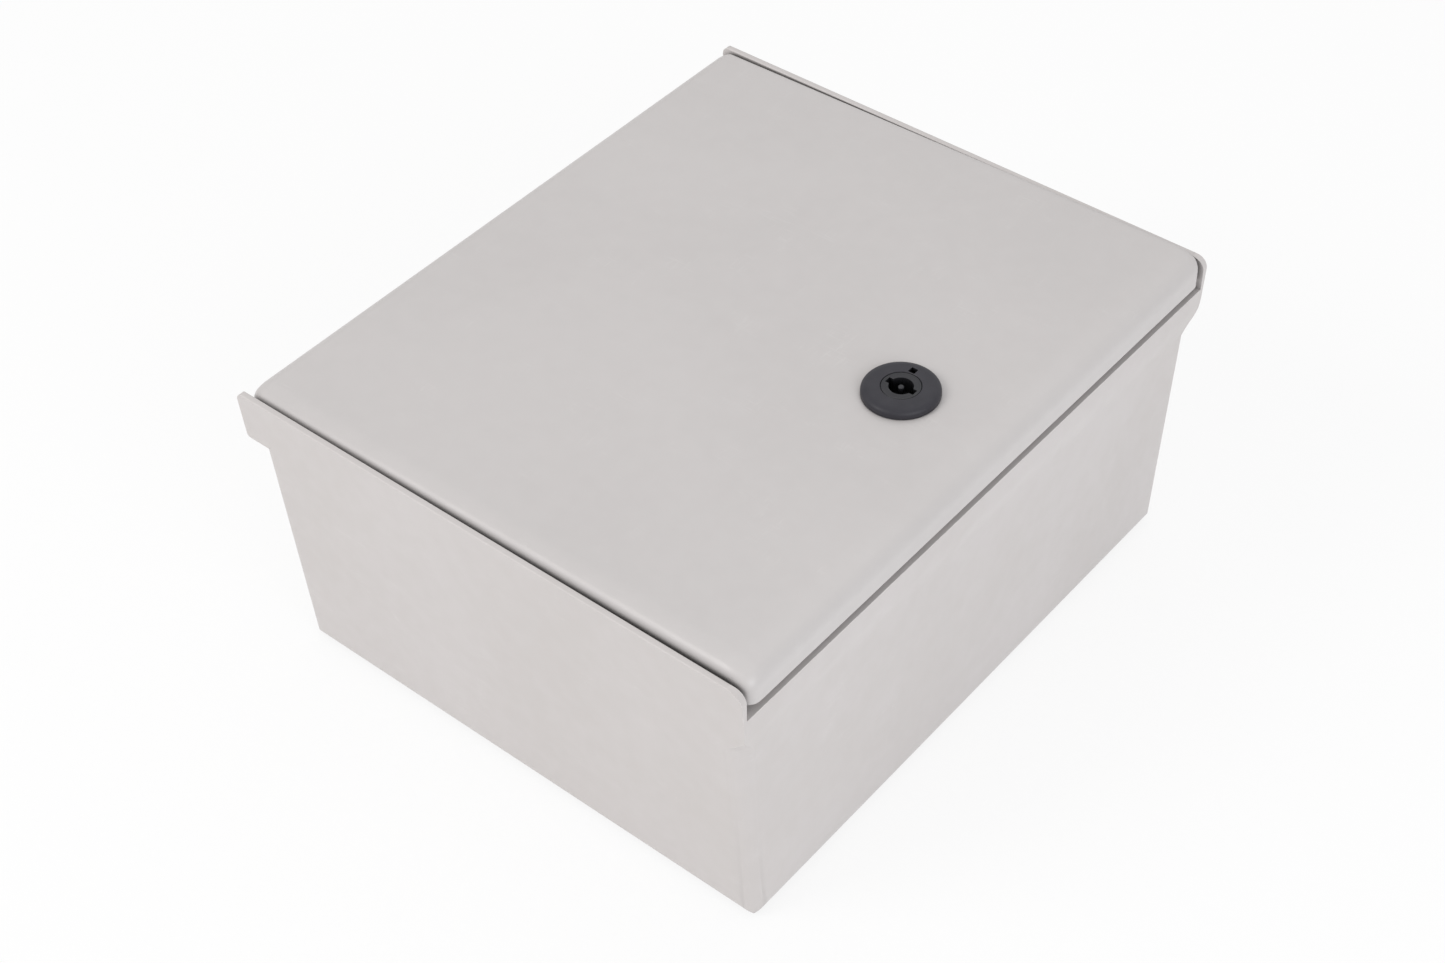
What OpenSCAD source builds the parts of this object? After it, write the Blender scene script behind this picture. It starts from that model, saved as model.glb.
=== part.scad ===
// Wall enclosure with a hinged door, a double-bit lock and a rail-mounted
// four-pole switch-disconnector inside. Millimetres, +Z out of the wall.
// Origin: centre of the back face. +X runs from the hinge side to the lock
// side, +Y from the lower end to the upper end.

/* [Enclosure] */
// Width across the hinge ears and the lock-side rim
box_w = 250; // [240:1:280]
// Length over the two end walls at their lips
box_l = 300; // [290:1:340]
// Depth from the back face to the top of the end lips
box_d = 140; // [136:1:170]
// Wall thickness
wall = 4; // [3:0.5:5]
// Lean of the end walls, in degrees
end_draft = 4; // [2:0.5:5]
// How far the hinge ears stand out from the hinge-side wall
ear_reach = 6; // [5:0.5:8]
// Height of the hinge ears
ear_h = 24; // [20:0.5:26]
// How far the lock-side rim stands out from the wall below it
flare_reach = 2.4; // [2:0.1:6]
// Height of the S-shaped blend under the lock-side rim
flare_h = 22; // [12:1:24]
// Radius of the upright corners
corner_r = 8.5; // [7:0.5:10]
// Radius round the back face
base_r = 8; // [5:0.5:9]
// Thickness of the end lips at their top
lip_t = 2.9; // [2.8:0.1:4]

/* [Door] */
// Height of the door's flat face
door_top = 139.6; // [139:0.1:140]
// Thickness of the door shell
door_t = 3.2; // [2.5:0.1:3.5]
// Gap between the door's ends and the lips
door_gap = 1.1; // [1:0.1:1.5]
// Height of the door's free edge
skirt_z = 125.6; // [125.5:0.1:127]
// Width of the seal in its channel
seal_w = 5.4; // [5:0.1:6]
// How far the door stands open at rest, in degrees
door_ajar = 0.9; // [0:0.1:1]

/* [Hinge] */
// Radius of the door's rolled hinge edge
roll_r = 7; // [6.5:0.1:7.5]
// Radius of the hinge pins
pin_r = 2.5; // [2:0.1:3]
// Length of each knuckle at the ends of the rolled edge
knuckle_l = 17; // [12:1:24]

/* [Lock] */
// Lock centre, from the enclosure's centre towards the free edge
lock_x = 78; // [60:1:80]
// Lock centre, from the enclosure's centre towards the upper end
lock_y = 5; // [-40:1:40]
// Radius of the lock's round flange
rosette_r = 15.5; // [14:0.5:17]
// Height of the flange above the door
rosette_h = 4; // [3:0.5:5]
// Length of the cam from the lock's centre
cam_reach = 37.5; // [36:0.5:38]

/* [Plate and rail] */
// Width of the mounting plate
plate_w = 184; // [180:1:190]
// Length of the mounting plate
plate_l = 236; // [230:1:240]
// Thickness of the mounting plate
plate_t = 2; // [1.5:0.5:3]
// Height of the plate bosses' seats
boss_top = 14; // [12:1:16]
// Length of the top-hat rail
rail_l = 170; // [150:5:176]
// Centre of the rail, towards the upper end
rail_y = 24; // [10:1:30]

/* [Wall fixing] */
// Hole centres across the width
fix_x = 200; // [196:1:202]
// Hole centres along the length
fix_y = 250; // [246:1:252]
// Radius of the wall-fixing holes
fix_r = 3.5; // [3:0.5:4]

/* [Switch] */
// Centre of the switch along the rail
switch_x = -12; // [-20:1:20]
// Width of one pole
pole_w = 17.5; // [17.5:0.5:18]
// Half of the toggle's travel, in degrees
toggle_half = 35; // [25:1:35]
// Rest position of the toggle from off towards on, in degrees
toggle_at = 0; // [0:1:70]

/* [Earth bar] */
// Length of the earth bar
earth_l = 130; // [110:5:150]
// Centre of the earth bar, towards the upper end
earth_y = -84; // [-90:1:-70]
// Number of earth terminals
earth_n = 9; // [5:1:9]

/* [Hidden] */
$fn = 48;

far = 400;                                   // longer than any side of the box

// Colours
grp_grey = [0.80, 0.79, 0.76];
lock_grey = [0.16, 0.16, 0.17];
zinc = [0.72, 0.73, 0.74];
steel = [0.62, 0.63, 0.65];
copper = [0.78, 0.45, 0.30];
brass = [0.80, 0.66, 0.34];
housing_grey = [0.86, 0.86, 0.85];
insulator_green = [0.16, 0.42, 0.26];

// Enclosure
half_w = box_w / 2;
half_l = box_l / 2;
hinge_wall_x = -half_w + ear_reach;          // outer face of the hinge-side wall
lock_wall_x = half_w - flare_reach;          // outer face of the lock-side wall
rim_z = 125.3;                               // floor of the channel round the tongue
shelf_t = 4;
tongue_top = 133.6;
tongue_w = 2.5;
tongue_hinge_x = -109.9;                     // outer faces of the tongue
tongue_lock_x = 116;
tongue_y = 140.4;
tongue_r = 7;
flare_top = 120.5;                           // where the flare turns upright
lip_bottom = box_d - ear_h;
lip_round = 0.8;                             // radius along the top outer edge of a lip
lean_y = half_l + lip_round * tan(end_draft);  // where an end wall's outer plane meets the lip's top height
lug_l = 52;                                  // catch lug for the cam
lug_x = 106;
lug_under = 121;
ear_t = 6;                                   // thickness of a hinge ear below the roll

// Hinge axis
hinge_x = -half_w + roll_r;
hinge_z = door_top - roll_r;
door_end = half_l - lip_t - door_gap;
door_edge = half_w - 0.1;                    // the free edge
hinge_corner = half_w + 0.4;                 // where the door's plan corners start, just past the roll
plan_r = 4.2;                                // radius of those corners
pin_bore_r = pin_r + 0.08;
pin_depth = 2;                               // how far a pin enters its ear

// Seal channel, centred on the tongue
chan_gap = (seal_w - tongue_w) / 2;
rib_t = 1.5;
rib_z = 132.6;
door_under = door_top - door_t;

// Lock stack
cam_top = 117;
cam_t = 2.6;
barrel_r = 11;
barrel_flat = 10;
insert_r = 7.9;
stem_r = 6.4;
insert_top = door_top + rosette_h - 0.2;
stem_top = door_under;
lock_clear = 0.1;

// Plate and rail heights
floor_z = 5;
plate_top = boss_top + plate_t;
rail_h = 7.5;
rail_t = 1;
rail_top = plate_top + rail_h;
boss_x = 80;
boss_y = 105;
rail_screw_x = 62.5;

// Switch
poles = [-1.5, -0.5, 0.5, 1.5];
switch_w = 4 * pole_w;
switch_l = 85;
nose_l = 45;
shaft_z = 68;
shoulder_z = 70;
nose_z = 83;
shell_t = 1.6;
chamber_w = 15.1;
shaft_r = 6;
barrel_rad = 18.6;
blade_t = 2;
blade_reach = 30;
leaf_t = 1;
leaf_gap = blade_t / 2 + 0.1;
strap_z = 46;
strap_t = 2;
cage_y = 35.5;
cage_l = 9;
cage_w = 11;
cage_bottom = 37.5;
cage_top = 53;
handle_x = 5;                                // offset of each handle leg in its pole
column_y = 28.6;

// Earth bar
earth_z = 36;
earth_h = 10;
earth_pitch = 12;
support_x = earth_l / 2 - 6;

// Soft rolls: radius of the wide arc, radius of the tight one, turn between them
lip_roll = [14, 5, 20];
side_roll = [30, 5, 18];
end_roll = [14, 4, 22];

function arc(cx, cy, r, a0, a1, n = 8) =
    [for (i = [0:n]) [cx + r * cos(a0 + (a1 - a0) * i / n), cy + r * sin(a0 + (a1 - a0) * i / n)]];

// Half length of an end wall's outer face at height z
function end_y(z) = lean_y - (box_d - z) * tan(end_draft);

// Outer edge of the soft roll that ends at x, from the flat at z: a wide arc, then a tight one
function soft_roll(x, z, roll) =
    let (big = roll[0], small = roll[1], turn = roll[2],
         x1 = x - small * (1 - sin(turn)) - big * sin(turn),
         z1 = z - big * (1 - cos(turn)))
    concat(arc(x1, z - big, big, 90, 90 - turn, 6),
           arc(x - small, z1 - small * cos(turn), small, 90 - turn, 0, 6));

// ---- Shared shapes ----

// 2D outline in X and Z, extruded along Y
module along_y(y0, y1) translate([0, y1, 0]) rotate([90, 0, 0]) linear_extrude(y1 - y0) children();

// 2D outline in Y and Z, extruded along X
module along_x(x0, x1) translate([x0, 0, 0]) rotate([90, 0, 90]) linear_extrude(x1 - x0) children();

module box(x0, x1, y0, y1, z0, z1) translate([x0, y0, z0]) cube([x1 - x0, y1 - y0, z1 - z0]);

module rod(x, y, z0, z1, r) translate([x, y, z0]) cylinder(r = r, h = z1 - z0);

module rounded(x0, x1, y0, y1, r) {
    translate([x0 + r, y0]) square([x1 - x0 - 2 * r, y1 - y0]);
    translate([x0, y0 + r]) square([x1 - x0, y1 - y0 - 2 * r]);
    for (x = [x0 + r, x1 - r], y = [y0 + r, y1 - r]) translate([x, y]) circle(r);
}

// Rectangle rounded only at its y1 end
module rounded_end(x0, x1, y0, y1, r) {
    translate([x0, y0]) square([x1 - x0, y1 - r - y0]);
    translate([x0 + r, y0]) square([x1 - x0 - 2 * r, y1 - y0]);
    for (x = [x0 + r, x1 - r]) translate([x, y1 - r]) circle(r);
}

module four(x, y) for (sx = [-1, 1], sy = [-1, 1]) translate([sx * x, sy * y, 0]) children();

// Pan-head screw, head seat at z = 0, shank down
module pan_screw(r, l, head_r, head_h) {
    difference() {
        union() {
            translate([0, 0, -l]) cylinder(r = r, h = l);
            cylinder(r = head_r, h = head_h * 0.6);
            translate([0, 0, head_h * 0.6]) cylinder(r1 = head_r, r2 = head_r * 0.78, h = head_h * 0.4);
        }
        for (a = [0, 90]) rotate(a)
            translate([-head_r * 0.55, -head_r * 0.11, head_h * 0.4]) cube([head_r * 1.1, head_r * 0.22, head_h]);
    }
}

// ---- Enclosure ----

// Prism whose end at +Y or -Y leans in by the draft, with round upright corners
module leaning_prism(side, x0, x1, y_top, r)
    translate([0, side * y_top, box_d]) rotate([-side * end_draft, 0, 0]) translate([0, -side * y_top, -box_d])
        translate([0, 0, -20]) linear_extrude(box_d + 60)
            mirror([0, side < 0 ? 1 : 0]) rounded_end(x0, x1, -y_top - 30, y_top, r);

// Tub-shaped block from z0 up, leaning at both ends and round at the bottom
module tub(x0, x1, y_top, r, r_bottom, z0, z1) {
    y_at = y_top - (box_d - z0) * tan(end_draft);
    y_round = y_at + r_bottom * tan(end_draft) - r_bottom / cos(end_draft);
    y_tan = y_round + r_bottom * cos(end_draft);
    z_tan = z0 + r_bottom - r_bottom * sin(end_draft);
    y_up = y_top + (z1 - box_d) * tan(end_draft);
    intersection() {
        leaning_prism(1, x0, x1, y_top, r);
        leaning_prism(-1, x0, x1, y_top, r);
        along_y(-far, far) {
            translate([x0, z0 + r_bottom]) square([x1 - x0, z1 - z0 - r_bottom]);
            translate([x0 + r_bottom, z0]) square([x1 - x0 - 2 * r_bottom, z1 - z0]);
            for (x = [x0 + r_bottom, x1 - r_bottom]) translate([x, z0 + r_bottom]) circle(r_bottom);
        }
        along_x(-far, far) {
            polygon([[-y_round, z0], [y_round, z0], [y_tan, z_tan], [y_up, z1], [-y_up, z1], [-y_tan, z_tan]]);
            for (y = [-y_round, y_round]) translate([y, z0 + r_bottom]) circle(r_bottom);
        }
    }
}

// Section that widens upwards from x = low to x = top in an S of two equal arcs
module flare_section(x_in, low, top) {
    s_low = flare_top - flare_h;
    reach = top - low;
    s_r = (flare_h * flare_h + reach * reach) / (4 * reach);
    mid_z = flare_top - flare_h / 2;
    translate([x_in, flare_top]) square([top - x_in, rim_z - flare_top]);
    intersection() {
        translate([top - s_r, flare_top]) circle(s_r, $fn = 96);
        translate([x_in, mid_z]) square([top - x_in, flare_top - mid_z]);
    }
    difference() {
        translate([x_in, s_low]) square([low + reach / 2 - x_in, mid_z - s_low]);
        translate([low + s_r, s_low]) circle(s_r, $fn = 96);
    }
}

// Lock-side rim; each corner grows from the wall's round corner to a square one
module flare() {
    corner_x = lock_wall_x - corner_r;
    corner_y = end_y(flare_top - flare_h) - corner_r;
    corner_out = norm([half_w - corner_x, end_y(rim_z) - corner_y]) + 0.2;
    along_y(-corner_y, corner_y) flare_section(corner_x, lock_wall_x - 0.3, half_w);
    intersection() {
        along_y(-half_l, half_l) flare_section(corner_x, lock_wall_x - 0.3, half_w);
        for (side = [0, 1]) mirror([0, side, 0]) translate([corner_x, corner_y, 0])
            rotate_extrude(angle = 90) flare_section(0, corner_r - 0.5, corner_out);
        along_x(-far, far) polygon([[-end_y(50), 50], [end_y(50), 50], [lean_y, box_d], [-lean_y, box_d]]);
    }
}

// Outline of a lip with its ear, seen along Y
module lip_outline() {
    top_r = 3.5;
    foot_r = 1.5;
    polygon(concat(
        [[hinge_wall_x + 6, lip_bottom]],
        arc(-half_w + foot_r, lip_bottom + foot_r, foot_r, 270, 180, 4),
        arc(-half_w + top_r, box_d - top_r, top_r, 180, 90, 6),
        soft_roll(half_w, box_d, lip_roll),
        [[half_w, rim_z - 2], [hinge_wall_x + 12, rim_z - 2]]));
}

module lip(side)
    mirror([0, side < 0 ? 1 : 0]) intersection() {
        union() {
            along_y(half_l - lip_t, half_l + 1) lip_outline();
            // the ear is thicker below the door's roll
            along_y(half_l - ear_t, half_l) intersection() {
                lip_outline();
                translate([-half_w, lip_bottom]) square([ear_reach + 2, rim_z - 0.3 - lip_bottom]);
            }
        }
        along_x(-far, far) polygon(concat(
            [[half_l - 2 * ear_t, lip_bottom - 1], [end_y(lip_bottom - 1), lip_bottom - 1]],
            arc(half_l - lip_round, box_d - lip_round, lip_round, 0, 90, 5),
            arc(half_l - lip_t + 0.7, box_d - 0.7, 0.7, 90, 180, 3),
            [[half_l - lip_t, rim_z + 1], [half_l - 2 * ear_t, rim_z + 1]]));
    }

module tongue_ring(inset, z0, z1) translate([0, 0, z0]) linear_extrude(z1 - z0)
    rounded(tongue_hinge_x + inset, tongue_lock_x - inset, -tongue_y + inset, tongue_y - inset, tongue_r - inset);

module enclosure_body() color(grp_grey) difference() {
    union() {
        difference() {
            union() {
                tub(hinge_wall_x, lock_wall_x, lean_y, corner_r, base_r, 0, rim_z);
                flare();
                tongue_ring(0, rim_z - 1, tongue_top);
            }
            // cavity under the shelf, then the opening through the tongue
            tub(hinge_wall_x + wall, lock_wall_x - wall, lean_y - wall, corner_r - wall, base_r - wall, floor_z,
                rim_z - shelf_t);
            tongue_ring(tongue_w, rim_z - shelf_t - 1, tongue_top + 1);
        }
        lip(1);
        lip(-1);
        // catch lug, and the rib that stops the cam when it is across
        box(lug_x, tongue_lock_x - tongue_w + 1, lock_y - lug_l / 2, lock_y + lug_l / 2, lug_under, rim_z);
        box(lug_x + 2, tongue_lock_x + 2, lock_y + 8, lock_y + 11, lug_under - 7.5, rim_z);
        four(boss_x, boss_y) {
            rod(0, 0, floor_z - 1, boss_top, 6);
            for (a = [0, 90]) rotate(a) translate([-8.5, -1, floor_z - 1]) cube([17, 2, 6]);
        }
        four(fix_x / 2, fix_y / 2) rod(0, 0, floor_z - 1, floor_z + 4, 8);
    }
    // insert pockets, wall-fixing holes, hinge pin sockets
    four(boss_x, boss_y) rod(0, 0, floor_z - 1, boss_top + 1, 3.5);
    four(fix_x / 2, fix_y / 2) rod(0, 0, -1, floor_z + 5, fix_r);
    for (side = [-1, 1]) translate([hinge_x, side * (half_l - lip_t + pin_depth), hinge_z])
        rotate([side * 90, 0, 0]) cylinder(r = pin_bore_r, h = pin_depth + 2);
    // shallow back panel between stiffening ribs
    for (ix = [-1, 0, 1], iy = [-2:2]) translate([ix * 58, iy * 44, -1]) linear_extrude(2.5)
        rounded(-27, 27, -20, 20, 4);
}

module boss_inserts() color(brass) four(boss_x, boss_y) difference() {
    rod(0, 0, boss_top - 9, boss_top, 3.45);
    rod(0, 0, boss_top - 10, boss_top + 1, 1.7);
}

// ---- Plate and rail ----

module mounting_plate() color(zinc) difference() {
    translate([0, 0, boss_top]) linear_extrude(plate_t) rounded(-plate_w / 2, plate_w / 2, -plate_l / 2, plate_l / 2, 5);
    four(boss_x, boss_y) rod(0, 0, boss_top - 1, plate_top + 1, 2.2);
    for (x = [-rail_screw_x, rail_screw_x]) rod(x, rail_y, boss_top - 1, plate_top + 1, 2.05);
    for (x = [-support_x, support_x]) rod(x, earth_y + 14, boss_top - 1, plate_top + 1, 1.7);
    // corner reliefs round the wall-fixing bosses
    four(fix_x / 2, fix_y / 2) rod(0, 0, boss_top - 1, plate_top + 1, 12);
}

module plate_screws() color(steel) four(boss_x, boss_y) translate([0, 0, plate_top]) pan_screw(1.65, 8, 4, 2.6);

module din_rail() color(zinc) translate([0, rail_y, plate_top]) difference() {
    along_x(-rail_l / 2, rail_l / 2) {
        translate([-13.5, 0]) square([27, rail_t]);
        for (s = [-1, 1]) {
            translate([s * 13 - rail_t / 2, 0]) square([rail_t, rail_h]);
            translate([s * 15 - 2.5, rail_h - rail_t]) square([5, rail_t]);
        }
    }
    for (i = [-3:2]) translate([12.5 + i * 25, 0, -1]) linear_extrude(rail_t + 2) rounded(-7.5, 7.5, -3.1, 3.1, 3.09);
}

module rail_screws() color(steel) for (x = [-rail_screw_x, rail_screw_x])
    translate([x, rail_y, plate_top + rail_t]) pan_screw(2, 3.6, 4.4, 2.8);

// ---- Door ----

// Shell of the door seen along Y: rolled hinge edge, flat, soft roll, skirt
module door_section() {
    outer = concat(arc(hinge_x, hinge_z, roll_r, 225, 90, 12), soft_roll(door_edge, door_top, side_roll),
                   [[door_edge, skirt_z]]);
    inner = concat(arc(hinge_x, hinge_z, roll_r - door_t, 225, 90, 12),
                   soft_roll(door_edge - door_t, door_under, side_roll - [door_t, door_t, 0]),
                   [[door_edge - door_t, skirt_z]]);
    polygon(concat(outer, [for (i = [len(inner) - 1:-1:0]) inner[i]]));
}

// The same outline filled in
module door_block_section()
    polygon(concat(arc(hinge_x, hinge_z, roll_r, 285, 225, 5), arc(hinge_x, hinge_z, roll_r, 225, 90, 12),
                   soft_roll(door_edge, door_top, side_roll),
                   [[door_edge, skirt_z], [hinge_x + roll_r - 0.5, skirt_z]]));

module door_block() intersection() {
    along_y(-door_end, door_end) door_block_section();
    along_x(-far, far) {
        roll = soft_roll(door_end, door_top, end_roll);
        polygon(concat([[-door_end, 100]], [for (i = [len(roll) - 1:-1:0]) [-roll[i][0], roll[i][1]]], roll,
                       [[door_end, 100]]));
    }
    translate([0, 0, 100]) linear_extrude(60) rounded(-hinge_corner, door_edge, -door_end, door_end, plan_r);
}

module channel(inset, z0, z1) translate([0, 0, z0]) linear_extrude(z1 - z0)
    rounded(tongue_hinge_x - chan_gap + inset, tongue_lock_x + chan_gap - inset,
            -tongue_y - chan_gap + inset, tongue_y + chan_gap - inset, tongue_r + chan_gap - inset);

// Turns the closed door and all it carries to where it rests
module ajar() translate([hinge_x, 0, hinge_z]) rotate([0, -door_ajar, 0]) translate([-hinge_x, 0, -hinge_z])
    children();

module door() color(grp_grey) ajar() difference() {
    union() {
        intersection() {
            door_block();
            union() {
                along_y(-far, far) door_section();
                for (side = [-1, 1]) box(-far, far, side > 0 ? door_end - door_t : -door_end,
                                         side > 0 ? door_end : -door_end + door_t, 0, far);
                // knuckles that close the roll at both ends
                for (side = [-1, 1])
                    translate([hinge_x, side > 0 ? door_end + 1 : -door_end + knuckle_l, hinge_z])
                        rotate([90, 0, 0]) cylinder(r = roll_r - 0.5, h = knuckle_l + 1);
            }
        }
        // walls of the seal channel
        difference() {
            channel(-rib_t, rib_z, door_under + 0.2);
            channel(0, rib_z - 1, door_under + 1);
        }
        difference() {
            channel(seal_w, rib_z, door_under + 0.2);
            channel(seal_w + rib_t, rib_z - 1, door_under + 1);
        }
        // stiffening ribs and the pad under the lock
        for (x = [-70, -20, 30]) box(x - 1, x + 1, -tongue_y + 5, tongue_y - 5, door_under - 2, door_under + 0.2);
        for (y = [-88, 88]) box(-104, 110, y - 1, y + 1, door_under - 2, door_under + 0.2);
        rod(lock_x, lock_y, door_under - 0.8, door_under + 0.2, 20);
    }
    // flat bed for the seal, also where the door's ends roll down
    difference() {
        channel(0, rib_z - 1, door_under);
        channel(seal_w, rib_z - 2, door_under + 1);
    }
    for (side = [-1, 1]) translate([hinge_x, side * far / 2, hinge_z])
        rotate([side * 90, 0, 0]) cylinder(r = pin_r + 0.05, h = far / 2 - door_end + knuckle_l + 1);
    intersection() {
        rod(lock_x, lock_y, 100, 160, barrel_r + 0.25);
        box(lock_x - 20, lock_x + 20, lock_y - barrel_flat - 0.2, lock_y + barrel_flat + 0.2, 100, 160);
    }
}

module door_gasket() color([0.12, 0.12, 0.13]) ajar() difference() {
    channel(0.05, tongue_top + 0.3, door_under);
    channel(seal_w - 0.05, tongue_top, door_under + 1);
}

module hinge_pin(side) color(steel) translate([hinge_x, side * (half_l - lip_t + pin_depth - 0.2), hinge_z])
    rotate([side * 90, 0, 0]) {
        shank = pin_depth - 0.2 + door_gap + knuckle_l;
        cylinder(r1 = pin_r - 0.4, r2 = pin_r, h = 0.6);
        translate([0, 0, 0.6]) cylinder(r = pin_r, h = shank - 0.6);
        translate([0, 0, shank]) cylinder(r = 3.4, h = 1.6);
    }

module hinge_pin_lower() hinge_pin(-1);

module hinge_pin_upper() hinge_pin(1);

// ---- Lock ----

module at_lock() ajar() translate([lock_x, lock_y, 0]) children();

module lock_housing() color(lock_grey) at_lock() difference() {
    union() {
        translate([0, 0, door_top]) rotate_extrude($fn = 96) polygon(concat(
            [[0, 0], [rosette_r, 0], [rosette_r, rosette_h * 0.5]],
            arc(rosette_r - 3.6, rosette_h - 3.6, 3.6, 20, 90, 6), [[0, rosette_h]]));
        intersection() {
            rod(0, 0, cam_top + 0.4, door_top + 1, barrel_r);
            box(-20, 20, -barrel_flat, barrel_flat, 100, 160);
        }
    }
    rod(0, 0, stem_top, 160, insert_r + lock_clear);
    rod(0, 0, 100, stem_top + 1, stem_r + lock_clear);
    difference() {
        rod(0, 0, door_top - 1, door_top + 1, 14.4);
        rod(0, 0, door_top - 2, door_top + 2, 11.6);
    }
    // index mark
    translate([-1.5, 10, door_top + rosette_h - 0.5]) cube([3, 3, 2]);
}

module lock_seal() color([0.08, 0.08, 0.08]) at_lock() difference() {
    rod(0, 0, door_top, door_top + 1, 14.35);
    rod(0, 0, door_top - 1, door_top + 2, 11.65);
}

module lock_nut() color(zinc) at_lock() difference() {
    intersection() {
        translate([0, 0, door_under - 6.3]) cylinder(r = 15.6, h = 5.5, $fn = 6);
        translate([0, 0, door_under - 6.3]) cylinder(r1 = 14.2, r2 = 19.7, h = 5.5);
    }
    rod(0, 0, 100, 160, barrel_r + 0.05);
}

module lock_insert() color([0.20, 0.20, 0.21]) at_lock() difference() {
    union() {
        rod(0, 0, stem_top, insert_top, insert_r);
        rod(0, 0, cam_top, stem_top + 1, stem_r);
        box(-3.95, 3.95, -3.95, 3.95, cam_top - cam_t + 0.1, cam_top + 1);
    }
    // double-bit keyhole round its centre pin
    difference() {
        union() {
            rod(0, 0, insert_top - 7, 160, 4.8);
            box(-6.2, 6.2, -1.5, 1.5, insert_top - 7, 160);
        }
        rod(0, 0, insert_top - 8, insert_top - 0.8, 1.3);
    }
    rod(0, 0, 100, cam_top + 7, 2.05);
}

module lock_cam() color(zinc) at_lock() translate([0, 0, cam_top - cam_t]) difference() {
    linear_extrude(cam_t) polygon(concat(arc(0, 0, 9, -15, 195, 18),
        [[-7, -cam_reach + 3], [-4, -cam_reach], [4, -cam_reach], [7, -cam_reach + 3]]));
    box(-4, 4, -4, 4, -1, cam_t + 1);
}

module cam_washer() color(steel) at_lock() difference() {
    rod(0, 0, cam_top - cam_t - 1, cam_top - cam_t, 6);
    rod(0, 0, 100, 160, 2.1);
}

module cam_screw() color(steel) at_lock() difference() {
    union() {
        translate([0, 0, cam_top - cam_t - 4.2]) cylinder(r = 4.3, h = 3.2, $fn = 6);
        rod(0, 0, cam_top - cam_t - 1, cam_top + 6, 2);
    }
    rod(0, 0, 100, cam_top - cam_t - 3.4, 2.6);
}

// ---- Switch ----

module at_switch() translate([switch_x, rail_y, 0]) children();

module at_poles() at_switch() for (p = poles) translate([p * pole_w, 0, 0]) children();

module switch_base() color(housing_grey) at_switch() {
    rear = plate_top + 1.8;
    difference() {
        union() {
            difference() {
                box(-switch_w / 2, switch_w / 2, -switch_l / 2, switch_l / 2, rear, shaft_z);
                // room for the rail
                box(-far, far, -17.7, 17.7, 0, rail_top);
                for (p = poles) translate([p * pole_w, 0, 0]) {
                    // mechanism chamber, then the two terminal chambers
                    box(-chamber_w / 2, chamber_w / 2, -24, 24, rail_top + 2.5, far);
                    for (s = [-1, 1]) {
                        box(-chamber_w / 2, chamber_w / 2, s > 0 ? 26 : -switch_l / 2 + shell_t + 0.4,
                            s > 0 ? switch_l / 2 - shell_t - 0.4 : -26, cage_bottom - 1, far);
                        // wire window
                        box(-3.8, 3.8, s > 0 ? 40 : -43.5, s > 0 ? 43.5 : -40, cage_bottom + 1.6, strap_z);
                    }
                    // slots for the contact tails
                    box(-4.2, 4.2, -27, -23, strap_z - 0.1, strap_z + strap_t + 0.1);
                    box(-4.2, 4.2, 23, 27, shaft_z - 6.1, far);
                }
            }
            // screw columns
            four(pole_w, column_y) rod(0, 0, cage_bottom - 2, shaft_z, 2.8);
            // fixed hook over the rail's upper flange
            box(-switch_w / 2, switch_w / 2, 16, 18, rear, rail_top - rail_t - 0.2);
            box(-switch_w / 2, switch_w / 2, 17.7, 20, rear, rail_top);
        }
        // shaft bearings in the walls between the poles
        along_x(-switch_w / 2 + shell_t, switch_w / 2 - shell_t) translate([0, shaft_z]) circle(shaft_r + 0.1);
        four(pole_w, column_y) rod(0, 0, shaft_z - 10, far, 1.05);
        // guide for the sliding rail foot
        box(-7, 7, -switch_l / 2 - 1, -17, rear + 1.2, rail_top - rail_t - 0.1);
    }
}

module switch_cover() color(housing_grey) at_switch() difference() {
    union() {
        box(-switch_w / 2, switch_w / 2, -switch_l / 2, switch_l / 2, shaft_z, shoulder_z);
        along_x(-switch_w / 2, switch_w / 2) polygon(concat(
            [[-nose_l / 2, shaft_z], [nose_l / 2, shaft_z]],
            arc(nose_l / 2 - 1.5, nose_z - 1.5, 1.5, 0, 90, 4), arc(-nose_l / 2 + 1.5, nose_z - 1.5, 1.5, 90, 180, 4)));
    }
    for (p = poles) translate([p * pole_w, 0, 0]) {
        box(-chamber_w / 2, chamber_w / 2, -nose_l / 2 + shell_t, nose_l / 2 - shell_t, 0, nose_z - shell_t);
        box(handle_x - 2.7, handle_x + 2.7, -14.2, 14.2, 0, far);
        for (s = [-1, 1]) rod(0, s * cage_y, 0, far, 3.4);
    }
    along_x(-switch_w / 2 + shell_t, switch_w / 2 - shell_t) translate([0, shaft_z]) circle(shaft_r + 0.1);
    four(pole_w, column_y) {
        rod(0, 0, 0, far, 1.3);
        translate([0, 0, shoulder_z - 1.2]) cylinder(r1 = 1.3, r2 = 2.6, h = 1.21);
    }
}

module switch_cover_screws() color(steel) at_switch() four(pole_w, column_y) difference() {
    union() {
        rod(0, 0, shaft_z - 8, shoulder_z - 1.2, 1);
        translate([0, 0, shoulder_z - 1.2]) cylinder(r1 = 1, r2 = 2.3, h = 1.2);
    }
    for (a = [0, 90]) rotate(a) translate([-1.3, -0.25, shoulder_z - 0.6]) cube([2.6, 0.5, 1]);
}

module fixed_jaws() color(copper) at_poles() {
    for (s = [-1, 1]) {
        x = s > 0 ? leaf_gap : -leaf_gap - leaf_t;
        box(x, x + leaf_t, -22, -12.5, 38, 50);
    }
    box(-leaf_gap - leaf_t, leaf_gap + leaf_t, -23, -22, 38, 50);
    box(-4, 4, -cage_y - cage_l / 2 + 0.5, -22.5, strap_z, strap_z + strap_t);
}

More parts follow.
